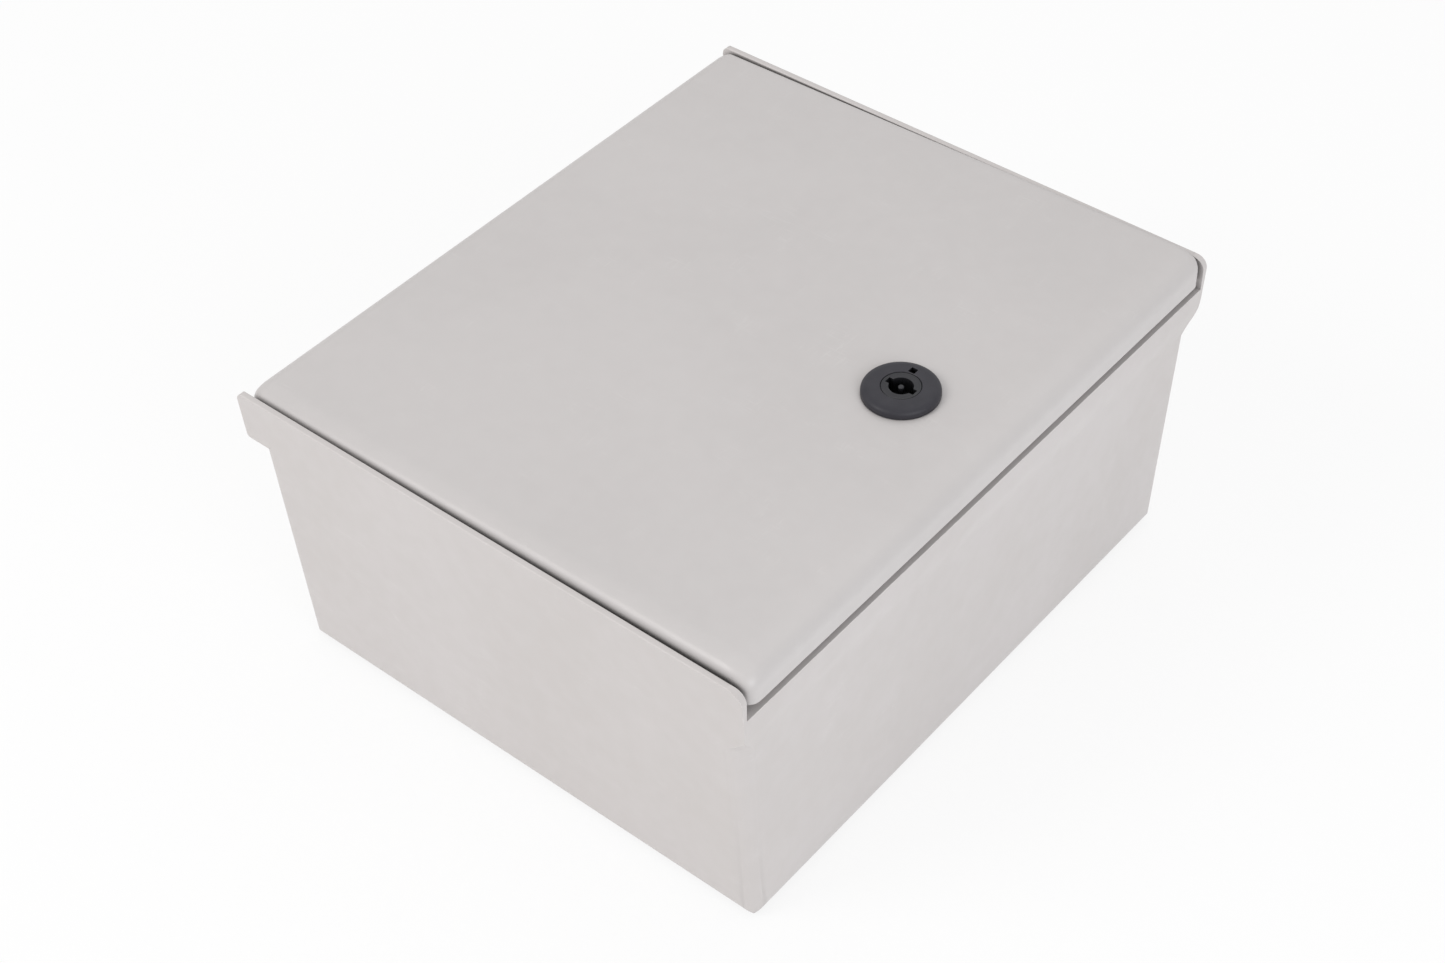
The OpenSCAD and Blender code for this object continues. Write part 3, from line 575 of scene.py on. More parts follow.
class Bench:
    """Models pieces in edit mode, in millimetres, with all else deselected."""

    def __init__(self, finisher: Finisher) -> None:
        """Takes the finisher that dresses what is made here."""
        self.finisher = finisher

    @staticmethod
    def clear() -> None:
        """Leaves edit mode and deselects every object."""
        if bpy.context.object and bpy.context.object.mode != "OBJECT":
            bpy.ops.object.mode_set(mode="OBJECT")
        bpy.ops.object.select_all(action="DESELECT")

    def take(self, piece: Piece) -> None:
        """Makes a piece the only one selected.

        Args:
            piece: The piece.
        """
        self.clear()
        piece.select_set(True)
        bpy.context.view_layer.objects.active = piece

    @staticmethod
    def _settle(name: str) -> Piece:
        """Names the new primitive and puts its place in its mesh.

        Args:
            name: Its name.

        Returns:
            The piece.
        """
        piece = bpy.context.object
        piece.name = piece.data.name = name
        bpy.ops.object.transform_apply(location=True, rotation=True, scale=True)
        return piece

    def block(self, name: str, low: Place, high: Place) -> Piece:
        """Adds a block between two corners.

        Args:
            name: The piece's name.
            low: Its lowest corner.
            high: Its highest corner.

        Returns:
            The piece.
        """
        self.clear()
        middle = [(a + b) / 2 * MM for a, b in zip(low, high)]
        span = [(b - a) * MM for a, b in zip(low, high)]
        bpy.ops.mesh.primitive_cube_add(size=1.0, location=middle, scale=span)
        return self._settle(name)

    def rod(
        self, name: str, radius: float, length: float, middle: Place, sides: int = 48, turn: Matrix = UPRIGHT
    ) -> Piece:
        """Extrudes a disc into a rod.

        Args:
            name: The piece's name.
            radius: Its radius.
            length: Its length.
            middle: Its middle.
            sides: Its number of sides.
            turn: The turn from upright.

        Returns:
            The rod.
        """
        self.clear()
        bpy.ops.mesh.primitive_circle_add(
            vertices=sides, radius=radius * MM, fill_type="NGON", location=(0, 0, -length / 2 * MM)
        )
        made = self._settle(name)
        self.lift(made, every, length)
        self.heal(made)
        self.hang(made, moved(*middle) @ turn)
        return made

    def draw(self, name: str, points: list[Place], face: bool) -> Piece:
        """Draws a line point by point, open or round one face.

        Args:
            name: The piece's name.
            points: The line's points.
            face: Whether the line closes round a face.

        Returns:
            The piece.
        """
        self.clear()
        bpy.ops.mesh.primitive_plane_add(size=MM, location=(0, 0, 0))
        piece = self._settle(name)
        self.pick_all(piece)
        bpy.ops.mesh.delete(type="VERT")
        grid = bmesh.from_edit_mesh(piece.data)
        made = [grid.verts.new([c * MM for c in point]) for point in points]
        if face:
            grid.faces.new(made)
        else:
            for pair in zip(made, made[1:]):
                grid.edges.new(pair)
        bmesh.update_edit_mesh(piece.data)
        return piece

    def turned(self, name: str, profile: list[Point], foot: float = 0.0, steps: int = 96) -> Piece:
        """Spins a profile about the upright axis into a closed round piece.

        Args:
            name: The piece's name.
            profile: Points of radius and height.
            foot: The height that the profile's heights start from.
            steps: Segments round the axis.

        Returns:
            The piece.
        """
        piece = self.draw(name, [(r, 0, foot + h) for r, h in profile], False)
        bpy.ops.mesh.select_all(action="SELECT")
        foot_place = (0, 0, foot * MM)
        bpy.ops.mesh.spin(
            steps=steps, angle=math.tau, center=foot_place, axis=(0, 0, 1), dupli=False, use_auto_merge=True
        )
        self.heal(piece)
        return piece

    def threaded(
        self, name: str, radius: float, pitch: float, low: float, high: float, steps: int = 28
    ) -> Piece:
        """Winds one tooth about the upright axis into a closed screw thread.

        Args:
            name: The piece's name.
            radius: The outer radius.
            pitch: The rise of one turn.
            low: The lower end.
            high: The upper end.
            steps: Segments in a turn.

        Returns:
            The piece.
        """
        root = radius - 0.6 * pitch
        tooth = ((root, 0.0), (root, 0.1), (radius, 0.45), (radius, 0.62), (root, 0.97), (root, 1.0))
        start = low - pitch
        piece = self.draw(name, [(r, 0, start + share * pitch) for r, share in tooth], False)
        self.modify(
            piece, "SCREW", steps=steps, render_steps=steps, screw_offset=pitch * MM,
            iterations=math.ceil((high - low) / pitch) + 2, use_merge_vertices=True, merge_threshold=0.00001,
        )
        self.pick_all(piece)
        bpy.ops.mesh.remove_doubles(threshold=2 * SAME_POINT)
        self.cut(piece, (0, 0, high), (0, 0, 1))
        self.cut(piece, (0, 0, low), (0, 0, -1))
        self.heal(piece)
        return piece

    def edit(self, piece: Piece) -> None:
        """Opens a piece in edit mode with nothing selected.

        Args:
            piece: The piece.
        """
        if bpy.context.object is piece and piece.mode == "EDIT":
            return
        self.take(piece)
        bpy.ops.object.mode_set(mode="EDIT")
        bpy.ops.mesh.select_all(action="DESELECT")

    def pick(self, piece: Piece, kind: Element, test: Test) -> None:
        """Selects elements of a piece by a test, and nothing else.

        Args:
            piece: The piece.
            kind: The kind of element.
            test: Says whether an element is taken.
        """
        self.edit(piece)
        bpy.ops.mesh.select_mode(type=kind.name)
        bpy.ops.mesh.select_all(action="DESELECT")
        grid = bmesh.from_edit_mesh(piece.data)
        grid.normal_update()
        taken = [element for element in getattr(grid, kind.value) if test(element)]
        for element in taken:
            element.select_set(True)
        bmesh.update_edit_mesh(piece.data)
        if not taken:
            raise ValueError(f"nothing to pick on {piece.name}")

    def pick_all(self, piece: Piece) -> None:
        """Selects all of a piece."""
        self.edit(piece)
        bpy.ops.mesh.select_all(action="SELECT")

    def lift(self, piece: Piece, test: Test, by: float, axis: int = 2) -> None:
        """Extrudes the faces that pass a test.

        Args:
            piece: The piece.
            test: Says which faces.
            by: How far.
            axis: The number of the axis, upwards if none is given.
        """
        self.pick(piece, Element.FACE, test)
        way = [by * MM if place == axis else 0.0 for place in range(3)]
        bpy.ops.mesh.extrude_region_move(TRANSFORM_OT_translate={"value": way})

    def round_edges(self, piece: Piece, test: Test, radius: float, steps: int) -> None:
        """Bevels the edges that pass a test.

        Args:
            piece: The piece.
            test: Says which edges.
            radius: The bevel's width.
            steps: Its number of segments.
        """
        self.pick(piece, Element.EDGE, test)
        bpy.ops.mesh.bevel(
            offset=radius * MM, offset_type="OFFSET", segments=steps, profile=0.5, clamp_overlap=True
        )

    def cut(self, piece: Piece, point: Place, normal: Place) -> None:
        """Cuts away what lies on a plane's normal side, and closes the cut.

        Args:
            piece: The piece.
            point: A point on the plane.
            normal: The plane's normal.
        """
        self.pick_all(piece)
        where = [c * MM for c in point]
        bpy.ops.mesh.bisect(plane_co=where, plane_no=normal, use_fill=True, clear_outer=True)

    def heal(self, piece: Piece) -> None:
        """Merges doubles and points all faces out.

        Args:
            piece: The piece.
        """
        self.pick_all(piece)
        bpy.ops.mesh.remove_doubles(threshold=SAME_POINT)
        bpy.ops.mesh.select_all(action="SELECT")
        bpy.ops.mesh.normals_make_consistent(inside=False)

    def modify(self, piece: Piece, kind: str, **values: object) -> None:
        """Adds a modifier with its values and applies it.

        Args:
            piece: The piece.
            kind: The modifier's type.
            **values: Its properties.
        """
        self.take(piece)
        made = piece.modifiers.new(kind.lower(), kind)
        for key, value in values.items():
            setattr(made, key, value)
        bpy.ops.object.modifier_apply(modifier=made.name)

    def ease(self, piece: Piece, radius: float, limit: float, **values: object) -> None:
        """Rounds a piece's sharp edges.

        Args:
            piece: The piece.
            radius: The rounding's width.
            limit: The least angle that is rounded, in degrees.
            **values: Other properties of the bevel.
        """
        least = math.radians(limit)
        self.modify(
            piece, "BEVEL", width=radius * MM, segments=2, limit_method="ANGLE", angle_limit=least, **values
        )

    def carve(self, piece: Piece, *tools: Piece, operation: str = "DIFFERENCE") -> None:
        """Cuts tools out of a piece, or cuts it back to them, and removes them.

        Args:
            piece: The piece.
            *tools: The cutting pieces.
            operation: DIFFERENCE or INTERSECT.
        """
        for tool in tools:
            self.modify(piece, "BOOLEAN", object=tool, operation=operation, solver="EXACT")
            bpy.data.objects.remove(tool, do_unlink=True)

    def join(self, name: str, *pieces: Piece) -> Piece:
        """Joins pieces into one.

        Args:
            name: The joined piece's name.
            *pieces: The pieces, of which the first stays.

        Returns:
            The joined piece.
        """
        self.take(pieces[0])
        for piece in pieces[1:]:
            piece.select_set(True)
        bpy.ops.object.join()
        pieces[0].name = pieces[0].data.name = name
        return pieces[0]

    @staticmethod
    def copy(source: Piece, name: str) -> Piece:
        """Copies a piece with its own mesh.

        Args:
            source: The piece.
            name: The copy's name.

        Returns:
            The copy.
        """
        made = bpy.data.objects.new(name, source.data.copy())
        bpy.context.scene.collection.objects.link(made)
        return made

    def hang(self, piece: Piece, place: Matrix) -> None:
        """Turns a piece to its place and writes that in its mesh.

        Args:
            piece: The piece.
            place: Where it goes.
        """
        self.take(piece)
        piece.matrix_world = place
        bpy.ops.object.transform_apply(location=True, rotation=True, scale=True)

    def eased_copy(self, node: str, radius: float) -> Piece:
        """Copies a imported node's shape and rounds its sharp edges.

        Args:
            node: The node.
            radius: The edges' radius.

        Returns:
            The eased piece.
        """
        piece = self.copy(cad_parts[node], f"{node}_finished")
        piece.data.materials.clear()
        self.take(piece)
        bpy.ops.mesh.customdata_custom_splitnormals_clear()
        self.pick_all(piece)
        bpy.ops.mesh.remove_doubles(threshold=SAME_POINT / 2)
        bpy.ops.mesh.select_all(action="SELECT")
        bpy.ops.mesh.dissolve_limited(angle_limit=math.radians(FLAT_LIMIT), use_dissolve_boundaries=False)
        self.ease(piece, radius, EASE_LIMIT, miter_outer="MITER_ARC")
        return piece

    def done(self, piece: Piece, body: str, finish: Finish, *nodes: str, sharp: float = 32.0) -> None:
        """Shades, dresses and registers a finished piece.

        Args:
            piece: The piece.
            body: The body it rides on.
            finish: Its finish.
            *nodes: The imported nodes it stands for.
            sharp: The angle above which edges stay sharp, in degrees.
        """
        self.take(piece)
        bpy.ops.object.shade_smooth_by_angle(angle=math.radians(sharp))
        self.modify(piece, "WEIGHTED_NORMAL", mode="FACE_AREA", weight=50, keep_sharp=True)
        self.finisher.dress(piece, finish)
        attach(piece, body)
        if nodes:
            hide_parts(*nodes)
        LOG.info("%s: %d faces, in %s", piece.name, len(piece.data.polygons), finish.name)


# ---- Door ----


def arc(centre: Point, radius: float, start: float, end: float, steps: int) -> list[Point]:
    """Walks an arc.

    Args:
        centre: Its centre.
        radius: Its radius.
        start: Its first angle, in degrees.
        end: Its last angle, in degrees.
        steps: Its number of chords.

    Returns:
        Its points.
    """
    angles = [math.radians(start + (end - start) * i / steps) for i in range(steps + 1)]
    return [(centre[0] + radius * math.cos(a), centre[1] + radius * math.sin(a)) for a in angles]


def rounded(low: Point, high: Point, radius: float) -> list[Point]:
    """Walks round a rectangle with round corners.

    Args:
        low: Its low corner.
        high: Its high corner.
        radius: The corners' radius.

    Returns:
        Its points, anticlockwise.
    """
    left, front, right, back = low[0] + radius, low[1] + radius, high[0] - radius, high[1] - radius
    corners = ((right, front, 270), (right, back, 0), (left, back, 90), (left, front, 180))
    return [point for x, y, turn in corners for point in arc((x, y), radius, turn, turn + 90, 9)]


@dataclass(frozen=True)
class SoftRoll:
    """An edge that falls off in a wide arc, then a tight one."""

    wide: float
    tight: float
    turn: float

    @property
    def reach(self) -> float:
        """How far from the edge the fall starts."""
        sine = math.sin(math.radians(self.turn))
        return self.wide * sine + self.tight * (1 - sine)

    def points(self, edge: float, top: float, steps: int = 8) -> list[Point]:
        """Walks the roll outwards from the flat.

        Args:
            edge: Where the roll ends.
            top: The height of the flat.
            steps: Chords on each arc.

        Returns:
            The points, from the flat to the upright edge.
        """
        bend = 90 - self.turn
        wide = arc((edge - self.reach, top - self.wide), self.wide, 90, bend, steps)
        low = wide[-1][1] - self.tight * math.cos(math.radians(self.turn))
        return wide + arc((edge - self.tight, low), self.tight, bend, 0, steps)[1:]

    def height(self, place: float, edge: float, top: float) -> float:
        """Gives the roll's height at a place.

        Args:
            place: How far out.
            edge: Where the roll ends.
            top: The height of the flat.

        Returns:
            The height there.
        """
        line = self.points(edge, top, 24)
        if place <= line[0][0]:
            return top
        for (x0, z0), (x1, z1) in zip(line, line[1:]):
            if place <= x1:
                return z0 + (z1 - z0) * (place - x0) / (x1 - x0)
        return line[-1][1]


@dataclass
class Door:
    """The moulded door with its rolled hinge edge, soft ends, seal and ribs.

    It is modelled shut, and its shell stands a little towards the upper end.
    """

    bench: Bench
    axis: Point = (-118.0, 132.6)
    roll: float = 7.0
    roll_start: float = 225.0
    roll_steps: int = 22
    roll_lip: float = 0.5
    edge: float = 124.9
    face: float = 139.6
    skirt: float = 125.6
    wall: float = 3.2
    end: float = 145.7
    side: SoftRoll = SoftRoll(30.0, 6.0, 18.0)
    lower_end: SoftRoll = SoftRoll(16.0, 5.5, 22.0)
    upper_end: SoftRoll = SoftRoll(0.0, 1.5, 0.0)
    end_loops: tuple[float, ...] = (0.0, 0.15, 0.3, 0.42)
    corner: float = 5.5
    corner_steps: int = 7
    shift: float = 0.8
    ajar: float = 0.9
    knuckle_low: float = 129.0
    pin: float = 2.55
    ease: float = 0.35
    ease_from: float = 55.0
    overlap: float = 0.3
    seal_low: Point = (-111.35, -141.85)
    seal_high: Point = (117.45, 141.85)
    seal_corner: float = 8.45
    seal: float = 5.4
    seal_foot: float = 133.9
    seal_round: float = 1.3
    seal_gap: float = 0.05
    channel_ease: float = 0.3
    channel: float = 1.5
    channel_foot: float = 132.6
    rib_height: float = 2.0
    ribs_low: Point = (-104.0, -135.4)
    ribs_high: Point = (110.0, 135.4)
    ribs_along: Place = (-70.0, -20.0, 30.0)
    ribs_across: Point = (-88.0, 88.0)
    lock: Point = (78.0, 5.0)
    hole: float = 11.25
    hole_flat: float = 10.2
    pad: float = 20.0
    pad_height: float = 0.8
    pad_overlap: float = 0.4
    rib_half: float = 1.0
    rib_ease: float = 0.4

    @property
    def under(self) -> float:
        """The height of the shell's underside."""
        return self.face - self.wall

    @property
    def open(self) -> Matrix:
        """The turn about the hinge from shut to where the door rests."""
        turn = Matrix.Rotation(-math.radians(self.ajar), 4, "Y")
        return moved(self.axis[0], 0, self.axis[1]) @ turn @ moved(-self.axis[0], 0, -self.axis[1])

    def build(self) -> None:
        """Builds the door and its seal."""
        parts = [self._shell(), self._pad(), self._knuckle(-1), self._knuckle(1)]
        parts += [self._channel_wall(-self.channel), self._channel_wall(self.seal), *self._ribs()]
        door = self.bench.join("door_moulding", *parts)
        for piece, finish, node, sharp in (
            (door, DOOR_SHELL, "door", 38.0),
            (self._seal(), FOAM, "door_gasket", 60.0),
        ):
            self.bench.hang(piece, self.open)
            self.bench.done(piece, "door", finish, node, sharp=sharp)

    def _shell(self) -> Piece:
        """Extrudes the section, rolls its ends down and hollows it from below.

        Returns:
            The shell.
        """
        bench, (x, z) = self.bench, self.axis
        section = arc(self.axis, self.roll, self.roll_start, 90, self.roll_steps)
        section += self.side.points(self.edge, self.face)
        section += [(self.edge, self.skirt), (x + self.roll - self.roll_lip, self.skirt)]
        shell = bench.draw("door_shell", [(across, -self.end, up) for across, up in section], True)
        bench.lift(shell, every, 2 * self.end, axis=1)
        bench.heal(shell)
        for share in self.end_loops:
            for side in (-1, 1):
                bench.pick_all(shell)
                place = side * (self.end - self.lower_end.reach * (1 - share)) * MM
                bpy.ops.mesh.bisect(plane_co=(0, place, 0), plane_no=(0, 1, 0))
        bench.round_edges(shell, self._round_end, self.corner, self.corner_steps)
        bench.pick_all(shell)
        grid = bmesh.from_edit_mesh(shell.data)
        for vertex in grid.verts:
            share = max(0.0, (vertex.co.z / MM - self.skirt) / (self.face - self.skirt))
            vertex.co.z -= share * self._drop(vertex.co.y / MM) * MM
            vertex.co.y += self.shift * MM
        bmesh.update_edit_mesh(shell.data)
        low = (self.skirt + 1.9) * MM
        bench.pick(shell, Element.FACE, lambda f: f.normal.z < -0.5 and f.calc_center_median().z < low)
        bpy.ops.mesh.delete(type="FACE")
        wall = self.wall * MM
        bench.modify(shell, "SOLIDIFY", thickness=wall, offset=-1.0, use_even_offset=True, use_rim=True)
        for vertex in shell.data.vertices:
            vertex.co.z = max(vertex.co.z, self.skirt * MM)
        bench.heal(shell)
        for side in (-1, 1):
            middle = (x, side * (self.end - 10), z)
            bench.carve(shell, bench.rod("bore", self.pin, THROUGH, middle, turn=LENGTHWAYS))
        bench.carve(shell, self._hole())
        bench.ease(shell, self.ease, self.ease_from)
        return shell

    def _round_end(self, edge: bmesh.types.BMEdge) -> bool:
        """Takes an end's outline above the skirt, but for the foot of the hinge roll.

        Args:
            edge: The edge.

        Returns:
            Whether it is rounded.
        """
        low = (self.skirt + 0.3) * MM
        heights = [v.co.z for v in edge.verts]
        at_end = all(abs(abs(v.co.y) - self.end * MM) < 1e-6 for v in edge.verts)
        at_foot = min(heights) < low and max(v.co.x for v in edge.verts) < 0
        return at_end and max(heights) > low and not at_foot

    def _drop(self, place: float) -> float:
        """Gives how far an end hangs below a plain round of the corner's radius.

        Args:
            place: The place along the door.

        Returns:
            The depth, below zero where the end stands higher.
        """
        out = abs(place)
        into = max(0.0, out - self.end + self.corner)
        plain = self.face - self.corner + math.sqrt(max(0.0, self.corner**2 - into**2))
        roll = self.lower_end if place < 0 else self.upper_end
        return plain - roll.height(out, self.end, self.face)

    def _hole(self) -> Piece:
        """Makes the flat-sided cutter for the lock.

        Returns:
            The cutter.
        """
        tool = self.bench.rod("hole", self.hole, THROUGH, (*self.lock, self.face))
        for side in (-1, 1):
            self.bench.cut(tool, (0, self.lock[1] + side * self.hole_flat, 0), (0, side, 0))
        return tool

    def _pad(self) -> Piece:
        """Makes the round pad under the lock.

        Returns:
            The pad.
        """
        height, foot = self.pad_height + self.pad_overlap, self.under - self.pad_height
        pad = self.bench.rod("pad", self.pad, height, (*self.lock, foot + height / 2))
        self.bench.round_edges(pad, below(foot + NEAR), self.rib_ease, 2)
        self.bench.carve(pad, self._hole())
        return pad

    def _knuckle(self, side: int) -> Piece:
        """Turns the knuckle that closes the roll at one end.

        Args:
            side: -1 for the lower end, 1 for the upper end.

        Returns:
            The knuckle.
        """
        outer, inner, deep = self.roll - 0.5, self.pin, self.end - self.knuckle_low - self.wall
        profile = [(inner, 0), (inner, deep), (outer - 1.8, deep), (outer, deep - 2.6)]
        profile += [(outer, 0.8), (outer - 0.8, 0), (inner, 0)]
        knuckle = self.bench.turned("knuckle", profile, steps=40)
        turn = Matrix.Rotation(-side * math.pi / 2, 4, "X")
        self.bench.hang(knuckle, moved(self.axis[0], side * self.knuckle_low, self.axis[1]) @ turn)
        return knuckle

    def _band(self, name: str, inset: float, width: float, foot: float, top: float) -> Piece:
        """Makes a band that follows the seal.

        Args:
            name: The piece's name.
            inset: How far inside the seal's outer edge it starts.
            width: Its width.
            foot: Its lower height.
            top: Its upper height.

        Returns:
            The band.
        """
        bench = self.bench
        low = (self.seal_low[0] + inset, self.seal_low[1] + inset)
        high = (self.seal_high[0] - inset, self.seal_high[1] - inset)
        line = rounded(low, high, self.seal_corner - inset)
        band = bench.draw(name, [(x, y, foot) for x, y in line], True)
        bench.pick(band, Element.FACE, every)
        bpy.ops.mesh.inset(thickness=width * MM, depth=0.0)
        bpy.ops.mesh.delete(type="FACE")
        bench.lift(band, every, top - foot)
        bench.heal(band)
        return band

    def _channel_wall(self, inset: float) -> Piece:
        """Makes one wall of the seal's channel, with its lower edges eased.

        Args:
            inset: How far inside the seal's outer edge it starts.

        Returns:
            The wall.
        """
        foot = self.channel_foot
        wall = self._band("channel_wall", inset, self.channel, foot, self.under + self.overlap)
        self.bench.round_edges(wall, folds_below(foot + NEAR), self.channel_ease, 2)
        return wall

    def _ribs(self) -> list[Piece]:
        """Makes the crossing ribs under the face, each with its edges eased.

        Returns:
            The ribs.
        """
        foot, top, half = self.under - self.rib_height, self.under + self.overlap, self.rib_half
        (left, front), (right, back) = self.ribs_low, self.ribs_high
        spans = [((x - half, front), (x + half, back)) for x in self.ribs_along]
        spans += [((left, y - half), (right, y + half)) for y in self.ribs_across]
        made = [self.bench.block("rib", (*low, foot), (*high, top)) for low, high in spans]
        for rib in made:
            self.bench.round_edges(rib, below(foot + NEAR), self.rib_ease, 2)
        return made

    def _seal(self) -> Piece:
        """Makes the foamed seal, round along its free side.

        Returns:
            The seal.
        """
        gap = self.seal_gap
        seal = self._band("door_seal", gap, self.seal - 2 * gap, self.seal_foot, self.under)
        self.bench.round_edges(seal, folds_below(self.seal_foot + NEAR), self.seal_round, 5)
        return seal


# ---- Lock ----


@dataclass
class Lock:
    """The round double-bit lock: flanged housing, turning insert and nut."""

    bench: Bench
    door: Door
    flange: float = 15.5
    flange_height: float = 4.0
    dome: float = 3.6
    brim: float = 1.8
    rim_ease: Point = (0.3, 0.35)
    groove: Point = (11.6, 14.4)
    groove_depth: float = 1.0
    bore_ease: float = 0.18
    bore: float = 8.0
    barrel: float = 11.0
    flat: float = 10.0
    pitch: float = 1.5
    foot: float = 117.4
    stem: float = 6.4
    stem_foot: float = 117.0
    insert_sink: float = 0.2
    mark: Point = (-1.4, 9.7)
    mark_half: float = 1.45
    mark_depth: float = 2.4
    key: float = 4.9
    bit_reach: float = 6.5
    bit_half: float = 1.5
    key_depth: float = 7.0
    pin: float = 1.15
    square_half: float = 3.95
    square_foot: float = 114.5
    screw_bore: float = 2.05
    nut: float = 15.6
    nut_height: float = 5.5
    nut_gap: float = 0.8
    nut_chamfer: tuple[Point, Point] = ((14.1, -0.1), (15.8, 1.0))

    def build(self) -> None:
        """Builds the housing, the insert and the nut at the lock's place."""
        for piece, body, finish, node in (
            (self._housing(), "door", LOCK_BODY, "lock_housing"),
            (self._insert(), "lock_rotor", LOCK_CORE, "lock_insert"),
            (self._nut(), "door", ZINC, "lock_nut"),
        ):
            self.bench.hang(piece, self.door.open @ moved(*self.door.lock, 0))
            self.bench.done(piece, body, finish, node)

    def _housing(self) -> Piece:
        """Turns the flange, winds the barrel's thread and cuts flats and bore.

        Returns:
            The housing.
        """
        bench, seat, top = self.bench, self.door.face, self.flange_height
        rim, fall, steps = self.flange - self.dome, top - self.brim, 8
        profile = [(self.bore, 0), (self.bore, top - self.bore_ease), (self.bore + self.bore_ease, top)]
        for turn in (math.pi / 2 * i / steps for i in range(steps + 1)):
            profile.append((rim + self.dome * math.sin(turn), self.brim + fall * math.cos(turn)))
        (inner, outer), deep = self.groove, self.groove_depth
        back, rise = self.rim_ease
        profile += [(self.flange, rise), (self.flange - back, 0), (outer, 0), (outer, deep)]
        profile += [(inner, deep), (inner, 0), (self.bore, 0)]
        flange = bench.turned("lock_flange", profile, foot=seat)
        (x, y), half, deep = self.mark, self.mark_half, seat + top - self.mark_depth
        mark = bench.block("mark", (x - half, y - half, deep), (x + half, y + half, seat + top + 1))
        bench.carve(flange, mark)
        barrel = bench.threaded("lock_barrel", self.barrel, self.pitch, self.foot, seat + 0.2)
        for side in (-1, 1):
            bench.cut(barrel, (0, side * self.flat, 0), (0, side, 0))
        bench.heal(barrel)
        wide = bench.rod("bore", self.bore, 10.0, (0, 0, self.door.under + 5.0))
        narrow = bench.rod("bore", self.stem + 0.1, 60.0, (0, 0, self.door.under))
        bench.carve(barrel, wide, narrow)
        return bench.join("lock_body_finished", flange, barrel)

    def _insert(self) -> Piece:
        """Turns the insert and cuts the keyhole round its centre pin.

        Returns:
            The insert.
        """
        bench, wide, step = self.bench, self.bore - 0.1, self.door.under
        top = self.door.face + self.flange_height - self.insert_sink
        deep = top - self.key_depth
        profile = [(0, self.stem_foot), (self.stem, self.stem_foot), (self.stem, step), (wide, step)]
        profile += [(wide, top - 0.25), (wide - 0.25, top), (wide - 0.9, top)]
        profile += [(wide - 1.1, top - 0.12), (0, top - 0.12)]
        insert = bench.turned("lock_core_finished", profile)
        ring = bench.rod("ring", self.key, self.key_depth + 2, (0, 0, top - self.key_depth / 2 + 1), sides=64)
        reach, half = self.bit_reach, self.bit_half
        bench.carve(insert, ring, bench.block("bits", (-reach, -half, deep), (reach, half, top + 2)))
        tip, low = top - 0.2, deep - 0.5
        profile = [(0, low), (self.pin, low), (self.pin, tip - 0.3), (self.pin - 0.3, tip), (0, tip)]
        pin = bench.turned("pin", profile, steps=32)
        half = self.square_half
        square = bench.block("square", (-half, -half, self.square_foot), (half, half, self.stem_foot + 0.2))
        bench.round_edges(square, every, 0.3, 2)
        bench.carve(square, bench.rod("bore", self.screw_bore, 20.0, (0, 0, self.square_foot - 0.5)))
        return bench.join("lock_core_finished", insert, pin, square)

    def _nut(self) -> Piece:
        """Cuts a six-sided nut with chamfered corners.

        Returns:
            The nut.
        """
        bench, height = self.bench, self.nut_height
        foot = self.door.under - self.nut_gap - height
        nut = bench.rod("lock_nut_finished", self.nut, height, (0, 0, foot + height / 2), sides=6)
        (inner, low), (outer, high) = self.nut_chamfer
        profile = [(0, foot + low), (inner, foot + low), (outer, foot + high)]
        profile += [(outer, foot + THROUGH), (0, foot + THROUGH)]
        bench.carve(nut, bench.turned("cone", profile), operation="INTERSECT")
        bench.carve(nut, bench.rod("bore", self.barrel + 0.05, 20.0, (0, 0, foot)))
        bench.ease(nut, 0.25, 50)
        return nut


# ---- Screws ----


@dataclass(frozen=True)
class Screw:
    """A pan-head screw with a cross recess."""

    head: float
    height: float
    shank: float
    length: float
    pitch: float = 0.7
    cross: Point = (0.56, 0.12)
    cross_foot: float = 0.38
    cross_taper: float = 0.72

    def model(self, bench: Bench) -> Piece:
        """Models the screw with its seat at the origin.

        Args:
            bench: The workbench.

        Returns:
            The screw.
        """
        full, high = self.head, self.height
        shares = ((0, 1), (0.5, 0.97), (0.78, 0.86), (0.94, 0.64), (1, 0.35), (1, 0.08))
        profile = [(out * full, up * high) for out, up in shares] + [(full - 0.1, 0), (0, 0)]
        head = bench.turned("head", profile, steps=32)
        arm, half = (share * full for share in self.cross)
        for wide, deep in ((arm, half), (half, arm)):
            cutter = bench.block("recess", (-wide, -deep, self.cross_foot * high), (wide, deep, high + 1))
            bench.pick(cutter, Element.FACE, lambda f: f.normal.z < -0.5)
            bpy.ops.transform.resize(value=(self.cross_taper, self.cross_taper, 1.0))
            bench.carve(head, cutter)
        thread = bench.threaded("thread", self.shank, self.pitch, -self.length, 0.1, 16)
        return bench.join("screw", head, thread)


def corners(x: float, y: float, z: float) -> list[Place]:
    """Gives the four places at plus and minus x and y."""
    return [(a * x, b * y, z) for a in (-1, 1) for b in (-1, 1)]


